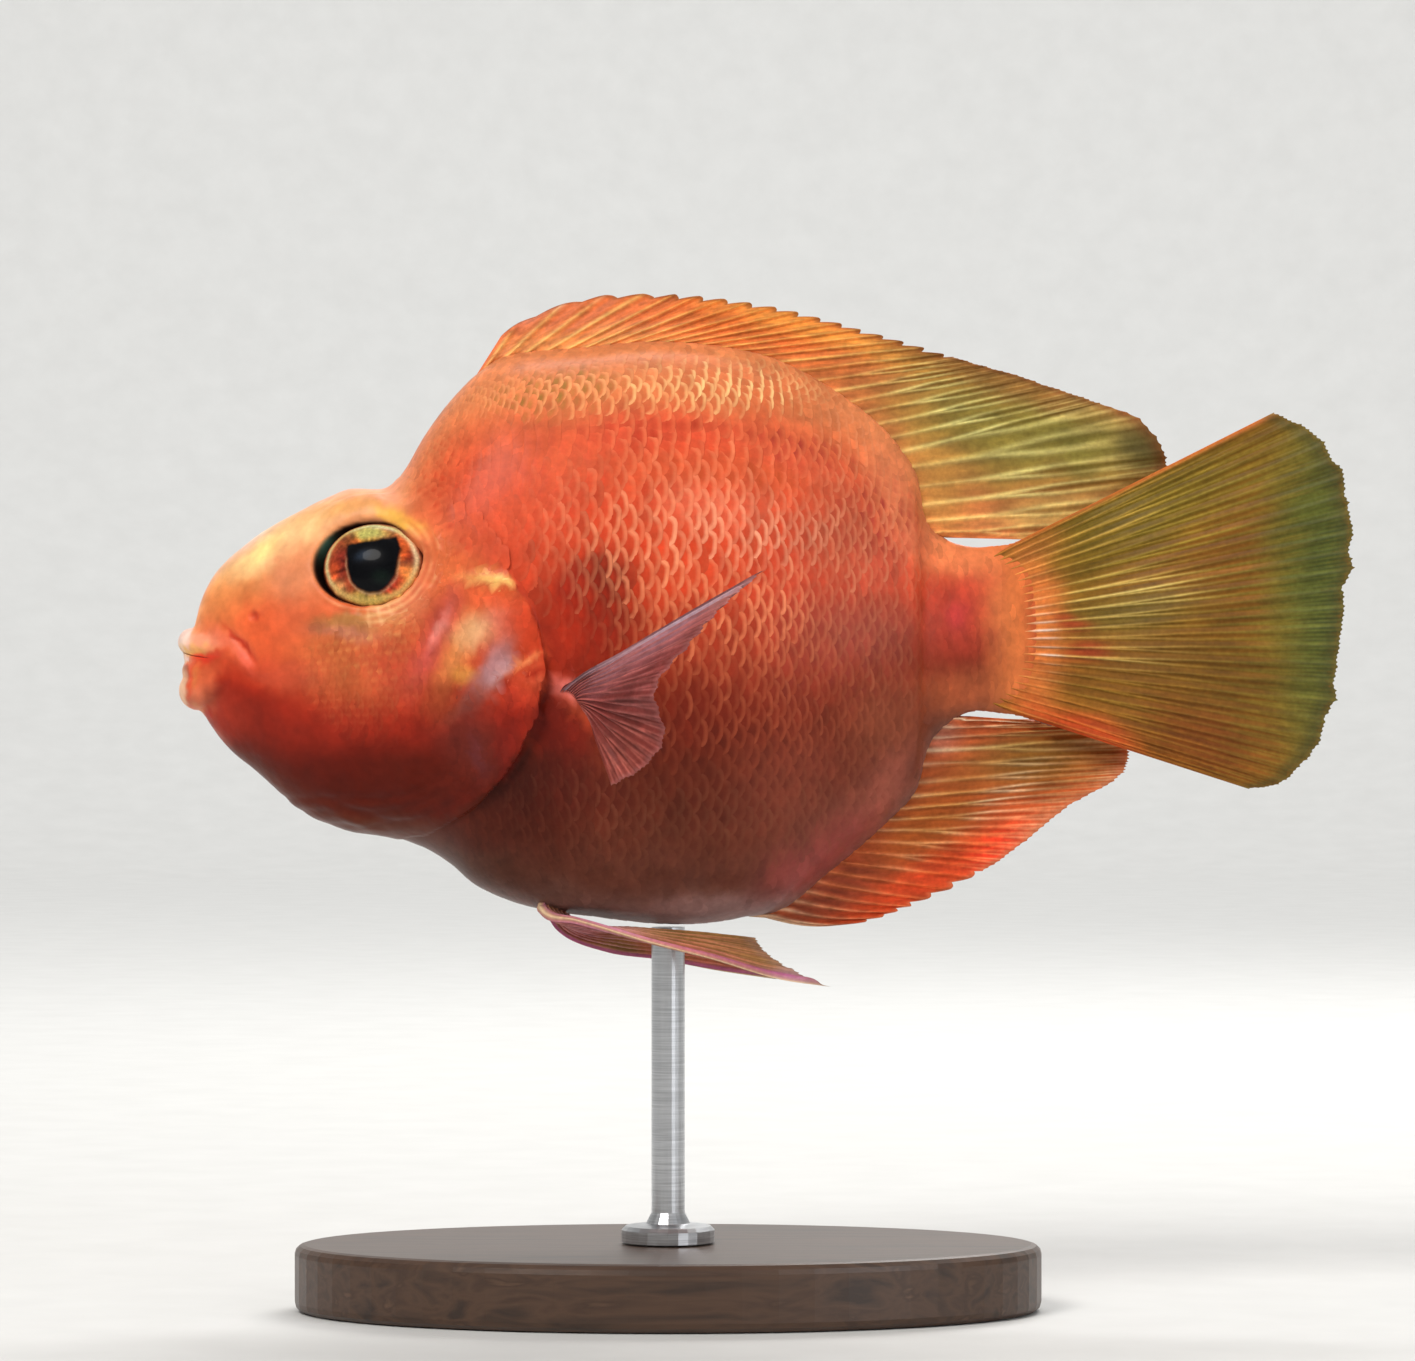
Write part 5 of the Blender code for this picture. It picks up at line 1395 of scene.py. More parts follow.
# Rays, then half thicknesses of the web at root, middle and end and of a ray at
# its root and end, with the depth of the web's pleats, then the colours.
DORSAL = (DORSAL_RAYS, (0.55, 0.2, 0.13, 0.42, 0.12, 1.4),
          (DORSAL_WEB, DORSAL_BONE, DORSAL_EDGE, DORSAL_LEAD))
ANAL = (ANAL_RAYS, (0.55, 0.2, 0.13, 0.4, 0.12, 1.4),
        (ANAL_WEB, ANAL_BONE, ANAL_EDGE, ANAL_LEAD))
CAUDAL = (CAUDAL_RAYS, (1.0, 0.22, 0.12, 0.26, 0.1, 1.0),
          (CAUDAL_WEB, CAUDAL_BONE, CAUDAL_EDGE, CAUDAL_LEAD))
PECTORAL = (PECTORAL_RAYS, (0.5, 0.16, 0.1, 0.26, 0.08, 1.2),
            (PECTORAL_WEB, PECTORAL_BONE, PECTORAL_EDGE, PECTORAL_LEAD))
PELVIC = (PELVIC_RAYS, (0.5, 0.2, 0.12, 0.34, 0.12, 1.0),
          (PELVIC_WEB, PELVIC_BONE, PELVIC_EDGE, PELVIC_LEAD))


def stretch_rays(root, tip, rows, reach):
    """Rows of points from each root point to its tip, by their shares of the way.

    Shares below zero lie inside the body, and a cut margin doesn't shorten them.
    """
    share = np.where(rows > 0.0, rows, rows / np.maximum(reach[:, None], 0.1))
    return root[:, None, :] + (tip - root)[:, None, :] * (share * reach[:, None])[..., None]


def sweep(centre, start):
    """Distance of each point of a sheet from its root row, up to a full lean."""
    away = np.linalg.norm(centre - centre[:, start:start + 1], axis=-1)
    away[:, :start] = 0.0
    return np.minimum(away, 20.0)


def median_root(u, turn):
    """Points just off the body's middle line, back or belly."""
    point = body_point(u, np.full_like(u, turn))
    along = body_point(u + 1e-3, np.full_like(u, turn)) - body_point(u - 1e-3, np.full_like(u, turn))
    out = unit(np.stack([-along[:, 2], np.zeros_like(u), along[:, 0]], axis=-1))
    return point + (out if turn == 0.0 else -out) * FIN_GAP


def lean(root, table):
    """Share of the margin that each ray's tip reaches, by its root's x."""
    x, share = np.array(table).T
    return np.interp(root[:, 0], x, share)


def with_side(points):
    """Flat x, z points as x, y, z with y zero."""
    points = np.asarray(points, float)
    return np.stack([points[:, 0], np.zeros(len(points)), points[:, 1]], axis=-1)


def ray_columns(rays):
    """Share of the fin's width for each column of points."""
    return np.linspace(0.0, 1.0, rays[0] * rays[2] + 1)


def ray_rows(rays, sunk):
    """Shares of the way out, the first few inside the body."""
    return np.concatenate([np.linspace(-sunk, 0.0, SUNK_ROWS + 1)[:-1], np.linspace(0.0, 1.0, rays[3])])


def sunk_share(v, sunk):
    """One at the innermost row of points, zero from the root outwards."""
    return np.clip(-v / sunk, 0.0, 1.0)


def flat_places(first, second):
    """Places for noise from a value for each column and one for each row."""
    first, second = np.broadcast_arrays(first, second)
    return np.stack([first, second, np.zeros_like(first)], axis=-1)


def ray_field(a, v, rays):
    """Height of the rays, from 0 on the web to 1, and which of them are spines."""
    place = a * rays[0]
    number = np.minimum(np.floor(place), rays[0] - 1)
    offset = np.abs(place - number - 0.5)[:, None]
    spine = (number < rays[1])[:, None]
    along = np.clip(v, 0.0, 1.0)[None, :]
    split = np.where(spine, 0.0, 0.23 * smooth_step(along, 0.22, 0.6))
    twice = np.where(spine, 0.0, 0.11 * smooth_step(along, 0.62, 0.95))
    near = np.abs(np.abs(offset - split) - twice)
    width = np.where(spine, 0.17 - 0.07 * along, 0.13 - 0.07 * along)
    return np.exp(-(near / width) ** 2), spine


def margin_reach(a, rays, spine_notch, soft_notch, draw):
    """How far the web reaches at each column, cut back between the rays."""
    place = a * rays[0]
    number = np.minimum(np.floor(place), rays[0] - 1).astype(int)
    offset = np.abs(place - number - 0.5) * 2.0
    spine = number < rays[1]
    jitter = draw.normal(0.0, 1.0, rays[0] + 1)
    smooth_jitter = np.interp(place, np.arange(rays[0] + 1), jitter)
    fine = np.interp(place * 4.0, np.arange(rays[0] * 4 + 1), draw.normal(0.0, 1.0, rays[0] * 4 + 1))
    cut = np.where(spine, spine_notch * offset**1.5, soft_notch * np.abs(np.sin(place * 4.0 * math.pi)))
    return 1.0 - cut + 0.005 * smooth_jitter + 0.003 * fine


def fin_halves(a, v, rays, ridge, spine, halves):
    """Half the thickness of a fin at each point, over web, rays and joints."""
    root_web, middle_web, end_web, ray, ray_end, _ = halves
    along = np.clip(v, 0.0, 1.0)[None, :]
    place = (a * rays[0])[:, None]
    joints = 0.5 + 0.5 * np.cos(2.0 * math.pi * (along * 26.0 + 0.3 * np.sin(place * 2.4)))
    joints = np.where(spine, 1.0, 1.0 - 0.18 * joints * smooth_step(along, 0.15, 0.4))
    web = np.interp(along, (0.0, 0.25, 1.0), (root_web, middle_web, end_web))
    stand = np.interp(along, (0.0, 0.3, 1.0), (ray, ray, ray_end))
    half = web + stand * ridge * joints
    border = smooth_step(np.minimum(a, 1.0 - a) * rays[0], -0.02, 0.35)[:, None]
    return half * (0.25 + 0.75 * border) * (1.0 - 0.8 * smooth_step(along, 0.965, 1.0))


def fin_faces(columns, rows):
    """Faces of two sheets of points and of the rim between them."""
    index = np.arange(columns * rows).reshape(columns, rows)
    other = index + columns * rows
    quads = np.stack([index[:-1, :-1], index[1:, :-1], index[1:, 1:], index[:-1, 1:]], axis=-1)
    mirror = np.stack([other[:-1, :-1], other[:-1, 1:], other[1:, 1:], other[1:, :-1]], axis=-1)
    ring = np.concatenate([index[:, 0], index[-1, 1:], index[-2::-1, -1], index[0, -2:0:-1]])
    after = np.roll(ring, -1)
    shift = columns * rows
    rim = np.stack([ring, ring + shift, after + shift, after], axis=-1)
    return [quads.reshape(-1, 4), mirror.reshape(-1, 4), rim]


def face_outwards(mesh):
    """Turn all faces of a closed mesh outwards."""
    bm = bmesh.new()
    bm.from_mesh(mesh)
    bmesh.ops.recalc_face_normals(bm, faces=bm.faces)
    bm.to_mesh(mesh)
    bm.free()


def fin_colours(centre, a, v, rays, ridge, looks):
    """Colour of web and rays at each point of a fin."""
    web, bone, edge, leads = looks
    along = np.clip(v, 0.0, 1.0)[None, :]
    place = (a * rays[0])[:, None]
    x, z = centre[..., 0], centre[..., 2]
    drift = 0.8 * noise(np.stack([x, np.zeros_like(x), z], axis=-1), 4.0, 31)
    shape = x.shape + (3,)
    web_colour = paint(np.broadcast_to(web[0][6], shape), x + drift, z + drift, web)
    bone_colour = paint(np.broadcast_to(bone[0][6], shape), x + drift, z, bone)
    streak = flat_places(place * 3.0, along * 9.0)
    streaks = 1.0 + 0.12 * noise(streak, 1.0, 32) + 0.06 * noise(streak * 3.0, 1.0, 33)
    bright = flat_places(np.floor(place * 2.0), along * 4.0)
    weight = np.clip(0.68 + 0.85 * noise(bright + 0.5, 1.0, 34), 0.1, 1.0)
    broad = ridge ** (0.45 + 0.55 * along)
    colour = blend(web_colour, bone_colour, broad * weight) * streaks[..., None]
    for tint, first, width in leads:
        lead = np.exp(-((a * rays[0] - first) / width) ** 2)[:, None] * np.ones_like(x)
        colour = blend(colour, tint, 0.85 * lead)
    colour = blend(colour, edge, 0.5 * smooth_step(along, 0.93, 0.99) * np.ones_like(x))
    return np.clip(colour, 0.0, 255.0)


def fin_sheet(name, node, centre, a, v, fin, material):
    """Closed fin from its middle sheet, with rays standing on both faces."""
    rays, halves, looks = fin
    ridge, spine = ray_field(a, v, rays)
    out = unit(np.cross(np.gradient(centre, axis=0), np.gradient(centre, axis=1)))
    half = fin_halves(a, v, rays, ridge, spine, halves)
    crease = 0.16 * np.sin(a * rays[0] * 2.0 * math.pi)[:, None] * smooth_step(v, 0.1, 0.6)[None, :]
    middle = centre + out * (crease * halves[5])[..., None]
    points = np.concatenate([(middle + out * half[..., None]).reshape(-1, 3),
                             (middle - out * half[..., None]).reshape(-1, 3)])
    obj = make_object(name, points, fin_faces(*half.shape), material)
    face_outwards(obj.data)
    colour = fin_colours(centre, a, v, rays, ridge, looks)
    set_colour(obj, "tone", np.concatenate([colour.reshape(-1, 3)] * 2))
    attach(obj, "root")
    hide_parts(node)


def median_sheet(column, seed, outline, rays, notches):
    """Middle sheet of a fin on the body's middle line: column 0 is the back, 2 the belly."""
    draw = np.random.default_rng(RANDOM_SEED + seed)
    ends, margin, leans = outline
    a, v = ray_columns(rays), ray_rows(rays, MEDIAN_SUNK)
    first, last = line_share(ends[0], column), line_share(ends[1], column)
    root = median_root(first + (last - first) * a, 0.0 if column == 0 else math.pi)
    tip = with_side(Track(margin).at(lean(root, leans)))
    reach = margin_reach(a, rays, *notches, draw)
    length = np.linalg.norm(tip - root, axis=1)
    shares = np.broadcast_to(v, (len(a), len(v))).copy()
    shares[:, :SUNK_ROWS] = v[None, :SUNK_ROWS] / MEDIAN_SUNK * (MEDIAN_FOOT / length)[:, None]
    return a, v, stretch_rays(root, tip, shares, reach)


def build_dorsal(material):
    """Long fin on the back, spines in front and soft rays behind."""
    outline = (DORSAL_ROOT, DORSAL_MARGIN, DORSAL_LEAN)
    a, v, centre = median_sheet(0, 11, outline, DORSAL_RAYS, DORSAL_NOTCHES)
    centre[..., 1] += FIN_LEAN * sweep(centre, SUNK_ROWS) * smooth_step(a, 0.5, 0.9)[:, None]
    fin_sheet("dorsal", "dorsal_fin", centre, a, v, DORSAL, material)


def build_anal(material):
    """Fin under the rear of the body."""
    a, v, centre = median_sheet(2, 12, (ANAL_ROOT, ANAL_MARGIN, ANAL_LEAN), ANAL_RAYS, ANAL_NOTCHES)
    bow = np.sin(math.pi * np.clip(v, 0.0, 1.0))[None, :]
    centre[..., 2] -= ANAL_BOW * bow * (1.0 - smooth_step(a, 0.0, 0.4))[:, None]
    centre[..., 1] += FIN_LEAN * sweep(centre, SUNK_ROWS) * smooth_step(a, 0.3, 0.9)[:, None]
    fin_sheet("anal", "anal_fin", centre, a, v, ANAL, material)


def build_caudal(material):
    """Tail fin, swung a little to the fish's left."""
    draw = np.random.default_rng(RANDOM_SEED + 13)
    a, v = ray_columns(CAUDAL_RAYS), ray_rows(CAUDAL_RAYS, CAUDAL_SUNK)
    height = TAIL_TOP - TAIL_FOOT - 1.6
    root = np.stack([np.full_like(a, TAIL_X + 0.3), np.zeros_like(a), TAIL_TOP - 0.8 - height * a], axis=-1)
    tip = with_side(Track(CAUDAL_MARGIN).at(a))
    reach = margin_reach(a, CAUDAL_RAYS, 0.0, 0.006, draw)
    centre = stretch_rays(root, tip, v, reach)
    fin_sheet("caudal", "caudal_fin", tail_swing(centre), a, v, CAUDAL, material)


def build_pectoral(side, name, node, material):
    """Cupped fan behind the gill cover; side is 1 for the left, -1 for the right."""
    draw = np.random.default_rng(RANDOM_SEED + 14)
    a, v = ray_columns(PECTORAL_RAYS), ray_rows(PECTORAL_RAYS, PECTORAL_SUNK)
    places = [skin_at(x, z) for x, z in Track(PECTORAL_ROOT).at(a)]
    normals = np.array([body_normal(u, turn) for u, turn, _ in places])
    root = np.array([point for _, _, point in places]) + normals * FIN_GAP
    ends = Track(PECTORAL_TIPS).at(a)
    tip = np.stack([ends[:, 0], root[:, 1] - ends[:, 2], ends[:, 1]], axis=-1)
    reach = margin_reach(a, PECTORAL_RAYS, 0.0, 0.018, draw)
    centre = stretch_rays(root, tip, v, reach)
    neck = PECTORAL_NECK * smooth_step(v, 0.0, 0.35) * (1.0 - smooth_step(v, 0.35, 1.0))
    centre += normals[:, None, :] * neck[None, :, None]
    centre -= normals[:, None, :] * (PECTORAL_FOOT * sunk_share(v, PECTORAL_SUNK))[None, :, None]
    centre[..., 1] *= side
    fin_sheet(name, node, centre, a, v, PECTORAL, material)


def belly_under(x, y):
    """Point just off the underside at x and sideways y, and the way out."""
    u = line_share(x, 2)
    turn = float(halve(lambda t: -body_point(u, t)[1] > abs(y), 0.5 * math.pi, math.pi)[0])
    normal = body_normal(u, turn)
    return body_point(u, turn) + normal * FIN_GAP, normal


def build_pelvic(side, name, node, outer, inner, material):
    """Long pointed fin under the chest, its spine along the outer edge."""
    draw = np.random.default_rng(RANDOM_SEED + 15)
    a, v = ray_columns(PELVIC_RAYS), ray_rows(PELVIC_RAYS, PELVIC_SUNK)
    roots = (belly_under(*PELVIC_ROOT_OUTER), belly_under(*PELVIC_ROOT_INNER))
    edges = []
    for (start, normal), edge in zip(roots, (outer, inner)):
        neck = start + normal * PELVIC_NECK + np.array([PELVIC_NECK, 0.0, 0.0])
        edges.append(Track([(p[0], p[2], -p[1]) for p in (start, neck)] + list(edge)))
    rows = np.clip(v, 0.0, 1.0) ** 1.4
    reach = margin_reach(a, PELVIC_RAYS, 0.0, 0.012, draw)
    centre = np.empty((len(a), len(v), 3))
    for c, share in enumerate(a):
        far = rows * (1.0 - PELVIC_OUTER_PULL * share)
        line = (1.0 - share) * edges[0].at(far * reach[c]) + share * edges[1].at(rows * reach[c])
        centre[c] = np.stack([line[:, 0], -side * line[:, 2], line[:, 1]], axis=-1)
    out = (1.0 - a[:, None]) * roots[0][1] + a[:, None] * roots[1][1]
    out[:, 1] *= side
    centre -= unit(out)[:, None, :] * (PELVIC_FOOT * sunk_share(v, PELVIC_SUNK))[None, :, None]
    fin_sheet(name, node, centre, a, v, PELVIC, material)


# Eyes.  Places are rearward and upward millimetres from the orbit's centre.
EYE_SIDES, EYE_RINGS = 220, 110
PUPIL_PLACE = (1.95, -1.85)
PUPIL_RADIUS = 3.55
PUPIL_LEFT = ((0.0, 3.4), (-3.55, -4.1))
PUPIL_RIGHT = ((0.0, 3.0, 4.8), (3.55, 3.9, 3.2))
PUPIL_TOP = ((-4.2, 0.6, 3.0, 3.9), (3.3, 4.0, 4.8, 3.0))
EYE_GROUND = (150, 62, 34)
RING_GROUND = (214, 176, 104)
OUTER_RING = (58, 22, 14)
PUPIL_RIM = (226, 184, 140)
PUPIL_BLACK = (9, 10, 13)
# Painted reflections of the surroundings in the black pupil.
PUPIL_REFLECTIONS = [
    ("blue", -1.4, 1.6, 1.3, 0.8, 20, (38, 50, 66), 0.7),
    ("green", 1.6, -1.6, 1.4, 1, 0, (22, 36, 28), 0.6),
]
EYE_PATCHES = [
    ("gold top", -1.4, 2.6, 3.2, 1.8, 15, (176, 132, 56), 0.95),
    ("orange in the top", -1.9, 2.9, 1.1, 0.7, 0, (222, 104, 44), 0.85),
    ("green top", -0.4, 4.5, 3.6, 1, 0, (150, 152, 84), 0.9),
    ("left brown", -4, 0, 1.6, 3.2, 0, (104, 34, 26), 0.95),
    ("left orange", -5.6, -1.8, 1.1, 1.6, 0, (222, 88, 44), 0.7),
    ("right orange", 5.6, 1.6, 2, 2.4, 0, (206, 92, 42), 0.9),
    ("right deep", 6.4, 0.6, 0.9, 1.8, 0, (96, 30, 20), 0.85),
    ("right low", 5.8, -2, 1.4, 1.4, 0, (232, 140, 62), 0.85),
    ("low red", 3.8, -4.2, 1.6, 1.2, -30, (176, 44, 32), 0.85),
    ("low yellow", 5, -5, 1.1, 0.8, -30, (238, 204, 96), 0.85),
    ("foot olive", -0.6, -5.6, 3.4, 1.1, 0, (190, 168, 84), 0.9),
    ("left foot", -4.6, -4.2, 1.6, 1.4, 40, (202, 158, 96), 0.7),
]
RING_PATCHES = [
    ("ring top", 0, 6, 5, 2, 0, (206, 214, 158), 1),
    ("ring right", 6.6, 2.6, 2.2, 3.6, 0, (240, 224, 178), 1),
    ("ring left", -7, -0.5, 1.6, 5, 0, (214, 204, 150), 0.9),
    ("ring foot", 0, -7, 6, 1.6, 0, (204, 182, 92), 0.95),
]


def pupil_shape(px, pz, flat):
    """Distance from the pupil's middle, evened out so that its rim is a circle."""
    sides = np.maximum(np.interp(pz, *PUPIL_LEFT) - px, px - np.interp(pz, *PUPIL_RIGHT))
    hood = np.maximum(sides, pz - np.interp(px, *PUPIL_TOP))
    above = np.where(pz > 0.0, PUPIL_RADIUS + hood, 99.0)
    return np.minimum(np.hypot(px, pz), above) + 0.09 * noise(flat, 0.8, 45)


def eye_colours(rear, up):
    """Colours of the eyeball, seen along its axis."""
    flat = np.stack([rear, np.zeros_like(rear), up], axis=-1)
    px, pz = rear - PUPIL_PLACE[0], up - PUPIL_PLACE[1]
    bx, bz = rear - BALL_PLACE[0], up - BALL_PLACE[1]
    ground = np.ones(rear.shape + (3,))
    bearing = np.arctan2(pz, px)
    streaks = np.stack([np.cos(bearing) * 5.0, np.sin(bearing) * 5.0, np.hypot(px, pz) * 0.25], axis=-1)
    drift = 0.5 * noise(flat, 1.6, 41)
    colour = paint(ground * EYE_GROUND, bx + drift, bz + drift, EYE_PATCHES)
    colour *= (1.0 + 0.3 * noise(streaks, 0.5, 42) + 0.12 * noise(flat, 0.4, 43))[..., None]
    ring = np.hypot(bx / BALL_RADII[0], bz / BALL_RADII[1]) + 0.012 * noise(flat, 1.3, 44)
    line = paint(ground * RING_GROUND, bx, bz, RING_PATCHES)
    colour = blend(colour, line, 0.9 * np.exp(-((ring - 0.86) / 0.055) ** 2))
    colour = blend(colour, OUTER_RING, smooth_step(ring, 0.91, 0.97))
    shape = pupil_shape(px, pz, flat)
    rim = np.exp(-((shape - PUPIL_RADIUS - 0.3) / 0.2) ** 2) * (1.0 - smooth_step(pz, 0.5, 2.6))
    colour = blend(colour, PUPIL_RIM, 0.6 * rim)
    colour *= (1.0 - 0.5 * np.exp(-((shape - PUPIL_RADIUS - 0.02) / 0.3) ** 2))[..., None]
    black = paint(ground * PUPIL_BLACK, px, pz, PUPIL_REFLECTIONS)
    colour = blend(colour, black, 1.0 - smooth_step(shape, PUPIL_RADIUS - 0.12, PUPIL_RADIUS + 0.12))
    return np.clip(colour, 0.0, 255.0)


def build_eye(side, name, node, material):
    """Flattened glossy ball, with the rings closest together near its pole."""
    centre, axis, rear, up = ORBIT
    angle = np.linspace(0.0, 2.0 * math.pi, EYE_SIDES, endpoint=False)
    polar = math.pi * np.linspace(0.0, 1.0, EYE_RINGS + 1)[1:-1, None]
    across, above, proud = np.broadcast_arrays(np.sin(polar) * np.cos(angle), np.sin(polar) * np.sin(angle),
                                               np.cos(polar))
    grid = np.stack([across * BALL_RADII[0], above * BALL_RADII[1], proud * EYE_DEPTH], axis=-1)
    poles = [[0.0, 0.0, EYE_DEPTH], [0.0, 0.0, -EYE_DEPTH]]
    flat = np.concatenate([grid.reshape(-1, 3), poles]) + (*BALL_PLACE, 0.0)
    gap = np.hypot(flat[:, 0] - PUPIL_PLACE[0], flat[:, 1] - PUPIL_PLACE[1])
    cornea = 0.35 * np.exp(-(gap / 4.6) ** 4) - 0.1 * np.exp(-((gap - 5.2) / 0.5) ** 2)
    flat[:, 2] += np.where(flat[:, 2] > 0.0, cornea, 0.0)
    points = centre + axis * (EYE_PROUD - EYE_DEPTH) + flat @ np.stack([rear, up, axis])
    points[:, 1] *= side
    faces = tube_faces(EYE_RINGS - 1, EYE_SIDES)
    if side < 0:
        faces = [face[:, ::-1] for face in faces]
    obj = make_object(name, points, faces, material)
    set_colour(obj, "tone", eye_colours(flat[:, 0], flat[:, 1]))
    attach(obj, "root")
    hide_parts(node)


def set_inputs(node, **values):
    """Give inputs of a node their values; a low line in a name stands for a space."""
    for name, value in values.items():
        node.inputs[name.replace("_", " ")].default_value = value


class Shade:
    """A material under construction."""

    def __init__(self, name, roughness, specular, coat=0.0, coat_roughness=0.1):
        self.material = bpy.data.materials.new(name)
        self.material.use_nodes = True
        self.nodes = self.material.node_tree.nodes
        self.shader = self.nodes["Principled BSDF"]
        set_inputs(self.shader, Roughness=roughness, Specular_IOR_Level=specular,
                   Coat_Weight=coat, Coat_Roughness=coat_roughness)

    def add(self, kind, **settings):
        """New node with settings."""
        node = self.nodes.new(kind)
        for key, value in settings.items():
            setattr(node, key, value)
        return node

    def link(self, start, end):
        """Join an output to an input."""
        self.material.node_tree.links.new(start, end)

    def attribute(self, name):
        """Colour, value and alpha stored on the mesh."""
        return self.add("ShaderNodeAttribute", attribute_name=name)

    def noise(self, scale, detail=4.0, rough=0.55, distortion=0.0, stretch=(1.0, 1.0, 1.0)):
        """Noise in bumps per metre, drawn out along the axes where the stretch is low."""
        where = self.add("ShaderNodeTexCoord").outputs["Object"]
        if stretch != (1.0, 1.0, 1.0):
            turn = self.add("ShaderNodeMapping")
            set_inputs(turn, Scale=stretch)
            self.link(where, turn.inputs["Vector"])
            where = turn.outputs["Vector"]
        node = self.add("ShaderNodeTexNoise")
        set_inputs(node, Scale=scale, Detail=detail, Roughness=rough, Distortion=distortion)
        self.link(where, node.inputs["Vector"])
        return node.outputs["Fac"]

    def ramp(self, value, stops):
        """Colour ramp with stops of (place, colour)."""
        node = self.add("ShaderNodeValToRGB")
        elements = node.color_ramp.elements
        while len(elements) < len(stops):
            elements.new(0.5)
        for element, (place, colour) in zip(elements, stops):
            element.position = place
            element.color = (*colour, 1.0)
        self.link(value, node.inputs["Fac"])
        return node.outputs["Color"]

    def mix(self, share, first, second, kind="MIX"):
        """Mix of two colours by a share that is a number or an output."""
        node = self.add("ShaderNodeMix", data_type="RGBA", blend_type=kind)
        if isinstance(share, float):
            node.inputs[0].default_value = share
        else:
            self.link(share, node.inputs[0])
        self.link(first, node.inputs[6])
        self.link(second, node.inputs[7])
        return node.outputs[2]

    def product(self, first, second):
        """One value multiplied by another."""
        node = self.add("ShaderNodeMath", operation="MULTIPLY")
        self.link(first, node.inputs[0])
        self.link(second, node.inputs[1])
        return node.outputs[0]

    def bump(self, height, strength, distance):
        """Fine relief in the surface's own light."""
        node = self.add("ShaderNodeBump")
        set_inputs(node, Strength=strength, Distance=distance)
        self.link(height, node.inputs["Height"])
        self.link(node.outputs["Normal"], self.shader.inputs["Normal"])

    def paint(self, colour):
        """Base colour of the shader."""
        self.link(colour, self.shader.inputs["Base Color"])

    def grained(self, colour, scale, low, high, detail=4.0, ends=(0.3, 0.7)):
        """A colour multiplied by noise that runs from a low tint to a high one."""
        grain = self.ramp(self.noise(scale, detail), [(ends[0], low), (ends[1], high)])
        return self.mix(1.0, colour, grain, "MULTIPLY")

    def translucent(self, weight, radius, scale):
        """Light that wanders under the surface."""
        set_inputs(self.shader, Subsurface_Weight=weight, Subsurface_Radius=radius, Subsurface_Scale=scale)


def skin_material():
    """Moist bare skin with fine mottling."""
    shade = Shade("moist skin", 0.38, 0.07, 0.03, 0.18)
    tone = shade.attribute("tone").outputs["Color"]
    tone = shade.grained(tone, 900.0, (0.92, 0.9, 0.89), (1.05, 1.05, 1.04))
    shade.paint(shade.grained(tone, 260.0, (0.96, 0.93, 0.92), (1.03, 1.03, 1.03), 3.0))
    shade.bump(shade.noise(1500.0, 3.0), 0.25, 0.0001)
    shade.translucent(0.12, (1.0, 0.35, 0.2), 0.0012)
    return shade.material


def scale_material():
    """Scales with a light arc along the rear rim."""
    shade = Shade("scales", 0.36, 0.07, 0.03, 0.18)
    tone = shade.attribute("tone").outputs["Color"]
    glint = shade.attribute("glint")
    rim = shade.attribute("rim").outputs["Fac"]
    arc = shade.ramp(rim, [(0.66, (0.0, 0.0, 0.0)), (0.84, (1.0, 1.0, 1.0)),
                           (0.95, (1.0, 1.0, 1.0)), (1.0, (0.35, 0.35, 0.35))])
    share = shade.product(arc, glint.outputs["Alpha"])
    patchy = shade.ramp(shade.noise(420.0, 2.0), [(0.35, (0.55, 0.55, 0.55)), (0.6, (1.0, 1.0, 1.0))])
    share = shade.product(share, patchy)
    body = shade.grained(tone, 1100.0, (0.9, 0.87, 0.86), (1.07, 1.06, 1.05))
    shade.paint(shade.mix(share, body, glint.outputs["Color"]))
    shade.bump(shade.noise(2200.0, 2.0), 0.15, 0.00008)
    shade.translucent(0.08, (1.0, 0.35, 0.2), 0.001)
    return shade.material


def fin_material(name):
    """Thin web and rays of a fin."""
    shade = Shade(name, 0.45, 0.07, 0.02, 0.2)
    tone = shade.attribute("tone").outputs["Color"]
    shade.paint(shade.grained(tone, 1300.0, (0.84, 0.82, 0.8), (1.1, 1.1, 1.08)))
    shade.bump(shade.noise(1800.0, 3.0), 0.2, 0.0001)
    shade.translucent(0.15, (1.0, 0.5, 0.3), 0.001)
    return shade.material


def eye_material():
    """Wet cornea over a painted iris."""
    shade = Shade("eye", 0.3, 0.03, 0.08, 0.05)
    tone = shade.attribute("tone").outputs["Color"]
    shade.paint(shade.grained(tone, 2600.0, (0.8, 0.78, 0.76), (1.15, 1.12, 1.1), 4.0, (0.35, 0.65)))
    return shade.material


def wood_material():
    """Dark stained wood with a long grain."""
    shade = Shade("stained wood", 0.42, 0.4, 0.2, 0.25)
    grain = shade.noise(6.0, 8.0, 0.5, 0.6, (6.0, 60.0, 60.0))
    shade.paint(shade.ramp(grain, [(0.3, (0.028, 0.014, 0.008)), (0.5, (0.07, 0.034, 0.018)),
                                   (0.62, (0.045, 0.021, 0.011)), (0.75, (0.11, 0.056, 0.03))]))
    shade.bump(grain, 0.12, 0.0004)
    return shade.material


def steel_material():
    """Brushed steel."""
    shade = Shade("brushed steel", 0.3, 0.5)
    set_inputs(shade.shader, Metallic=1.0)
    lines = shade.noise(120.0, 3.0, 0.5, 0.0, (1.0, 1.0, 40.0))
    shade.paint(shade.ramp(lines, [(0.3, (0.42, 0.43, 0.45)), (0.7, (0.62, 0.63, 0.65))]))
    shade.bump(lines, 0.08, 0.0001)
    return shade.material


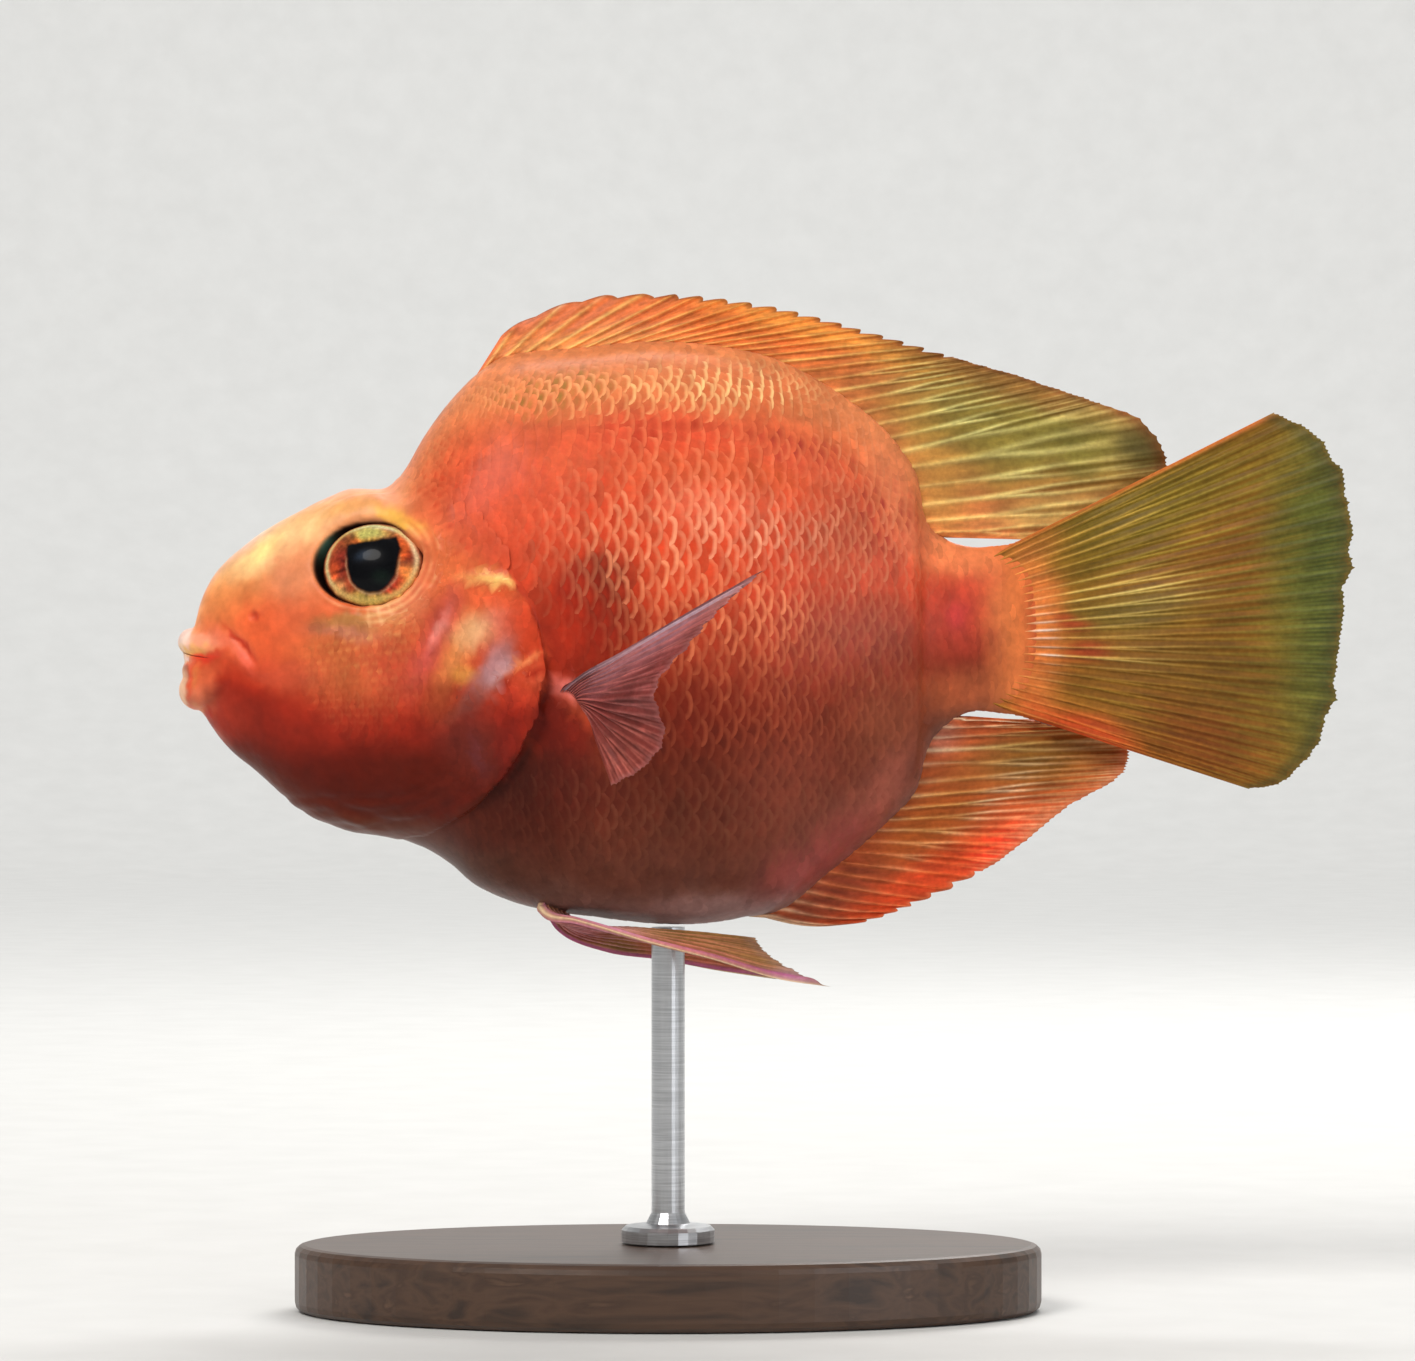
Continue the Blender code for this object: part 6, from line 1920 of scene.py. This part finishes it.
def floor_material():
    """Plain pale paper with a barely seen grain."""
    shade = Shade("pale paper", 0.85, 0.2)
    shade.paint(shade.ramp(shade.noise(60.0), [(0.3, (0.6, 0.6, 0.59)), (0.7, (0.63, 0.63, 0.62))]))
    return shade.material


# The stage, in millimetres: its flat part, the bend up to its wall and the wall's top.
STAGE_FLAT = 1900.0
STAGE_BEND = 700.0
STAGE_HEIGHT = 1500.0
STAGE_GAP = 0.05
STAGE_BENDS = 24
STAGE_SIDES = 96


def build_stage():
    """Round pale floor that turns up smoothly into a backdrop on all sides."""
    profile = [(1.0, 0.0), (600.0, 0.0), (STAGE_FLAT, 0.0)]
    for k in range(1, STAGE_BENDS + 1):
        angle = 0.5 * math.pi * k / STAGE_BENDS
        profile.append((STAGE_FLAT + STAGE_BEND * math.sin(angle), STAGE_BEND * (1.0 - math.cos(angle))))
    profile.append((STAGE_FLAT + STAGE_BEND, STAGE_HEIGHT))
    out, up = np.array(profile).T
    turn = np.linspace(0.0, 2.0 * math.pi, STAGE_SIDES, endpoint=False)[:, None]
    places = np.broadcast_arrays(out * np.cos(turn), out * np.sin(turn), up - STAGE_GAP)
    index = np.arange(STAGE_SIDES * len(profile)).reshape(STAGE_SIDES, len(profile))
    after = np.roll(index, -1, axis=0)
    quads = np.stack([index[:, :-1], index[:, 1:], after[:, 1:], after[:, :-1]], axis=-1)
    floor = make_object("floor", np.stack(places, axis=-1), [index[None, :, 0], quads.reshape(-1, 4)],
                        floor_material())


# Soft lights: name, place, target and size in metres, watts, colour.
LIGHTS = [
    ("key", (-0.45, -0.75, 0.85), (-0.01, 0, 0.1), 0.5, 9.8, (1, 0.97, 0.93)),
    ("fill", (0.8, -0.8, 0.35), (0, 0, 0.1), 0.8, 4, (0.95, 0.97, 1)),
    ("back", (0.3, 0.7, 0.8), (0, 0, 0.12), 0.5, 6, (1, 0.98, 0.95)),
    ("wall", (0, 1.1, 2.2), (0, 2.6, 0.5), 1.2, 40, (1, 1, 1)),
]
SKY = (1.0, 0.99, 0.97, 1.0)
SKY_STRENGTH = 0.42
CAMERA_PLACE = (-0.0081, -0.9, 0.0944)
CAMERA_SENSOR = 36.0
CAMERA_LENS = 152.7


def add_light(name, place, target, size, power, colour):
    """Round area light aimed at a target, in metres and watts."""
    data = bpy.data.lights.new(name, "AREA")
    data.shape = "DISK"
    data.size = size
    data.energy = power
    data.color = colour
    lamp = put(name, data)
    lamp.location = place
    lamp.rotation_euler = (Vector(target) - Vector(place)).to_track_quat("-Z", "Y").to_euler()


def build_studio():
    """Soft lights, pale surroundings and the camera of the photograph."""
    for light in LIGHTS:
        add_light(*light)
    scene = bpy.context.scene
    scene.world = bpy.data.worlds.new("studio")
    scene.world.use_nodes = True
    set_inputs(scene.world.node_tree.nodes["Background"], Color=SKY, Strength=SKY_STRENGTH)
    data = bpy.data.cameras.new("camera")
    data.sensor_fit = "HORIZONTAL"
    data.sensor_width = CAMERA_SENSOR
    data.lens = CAMERA_LENS
    data.clip_start = 0.01
    camera = put("camera", data)
    camera.location = CAMERA_PLACE
    camera.rotation_euler = (0.5 * math.pi, 0.0, 0.0)
    scene.camera = camera
    scene.view_settings.view_transform = "Standard"


def finish_stand():
    """Wood and steel on the stand, whose shapes stay as they are."""
    wood, steel = wood_material(), steel_material()
    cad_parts["stand_base"].material_slots[0].material = wood
    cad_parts["stand_rod"].material_slots[0].material = steel


def main():
    """Dress the whole model."""
    skin, scales = skin_material(), scale_material()
    median, paired = fin_material("median fins"), fin_material("paired fins")
    build_skin(skin)
    lattice = Lattice()
    for side in (1, -1):
        grow_scales(lattice, side, scales)
    build_dorsal(median)
    build_anal(median)
    build_caudal(median)
    build_pectoral(1, "pectoral_left", "pectoral_fin_left", paired)
    build_pectoral(-1, "pectoral_right", "pectoral_fin_right", paired)
    build_pelvic(1, "pelvic_left", "pelvic_fin_left", PELVIC_LEFT, PELVIC_LEFT_INNER, paired)
    build_pelvic(-1, "pelvic_right", "pelvic_fin_right", PELVIC_RIGHT, PELVIC_RIGHT_INNER, paired)
    eye = eye_material()
    build_eye(1, "eyeball_left", "eye_left", eye)
    build_eye(-1, "eyeball_right", "eye_right", eye)
    finish_stand()
    build_stage()
    build_studio()


main()
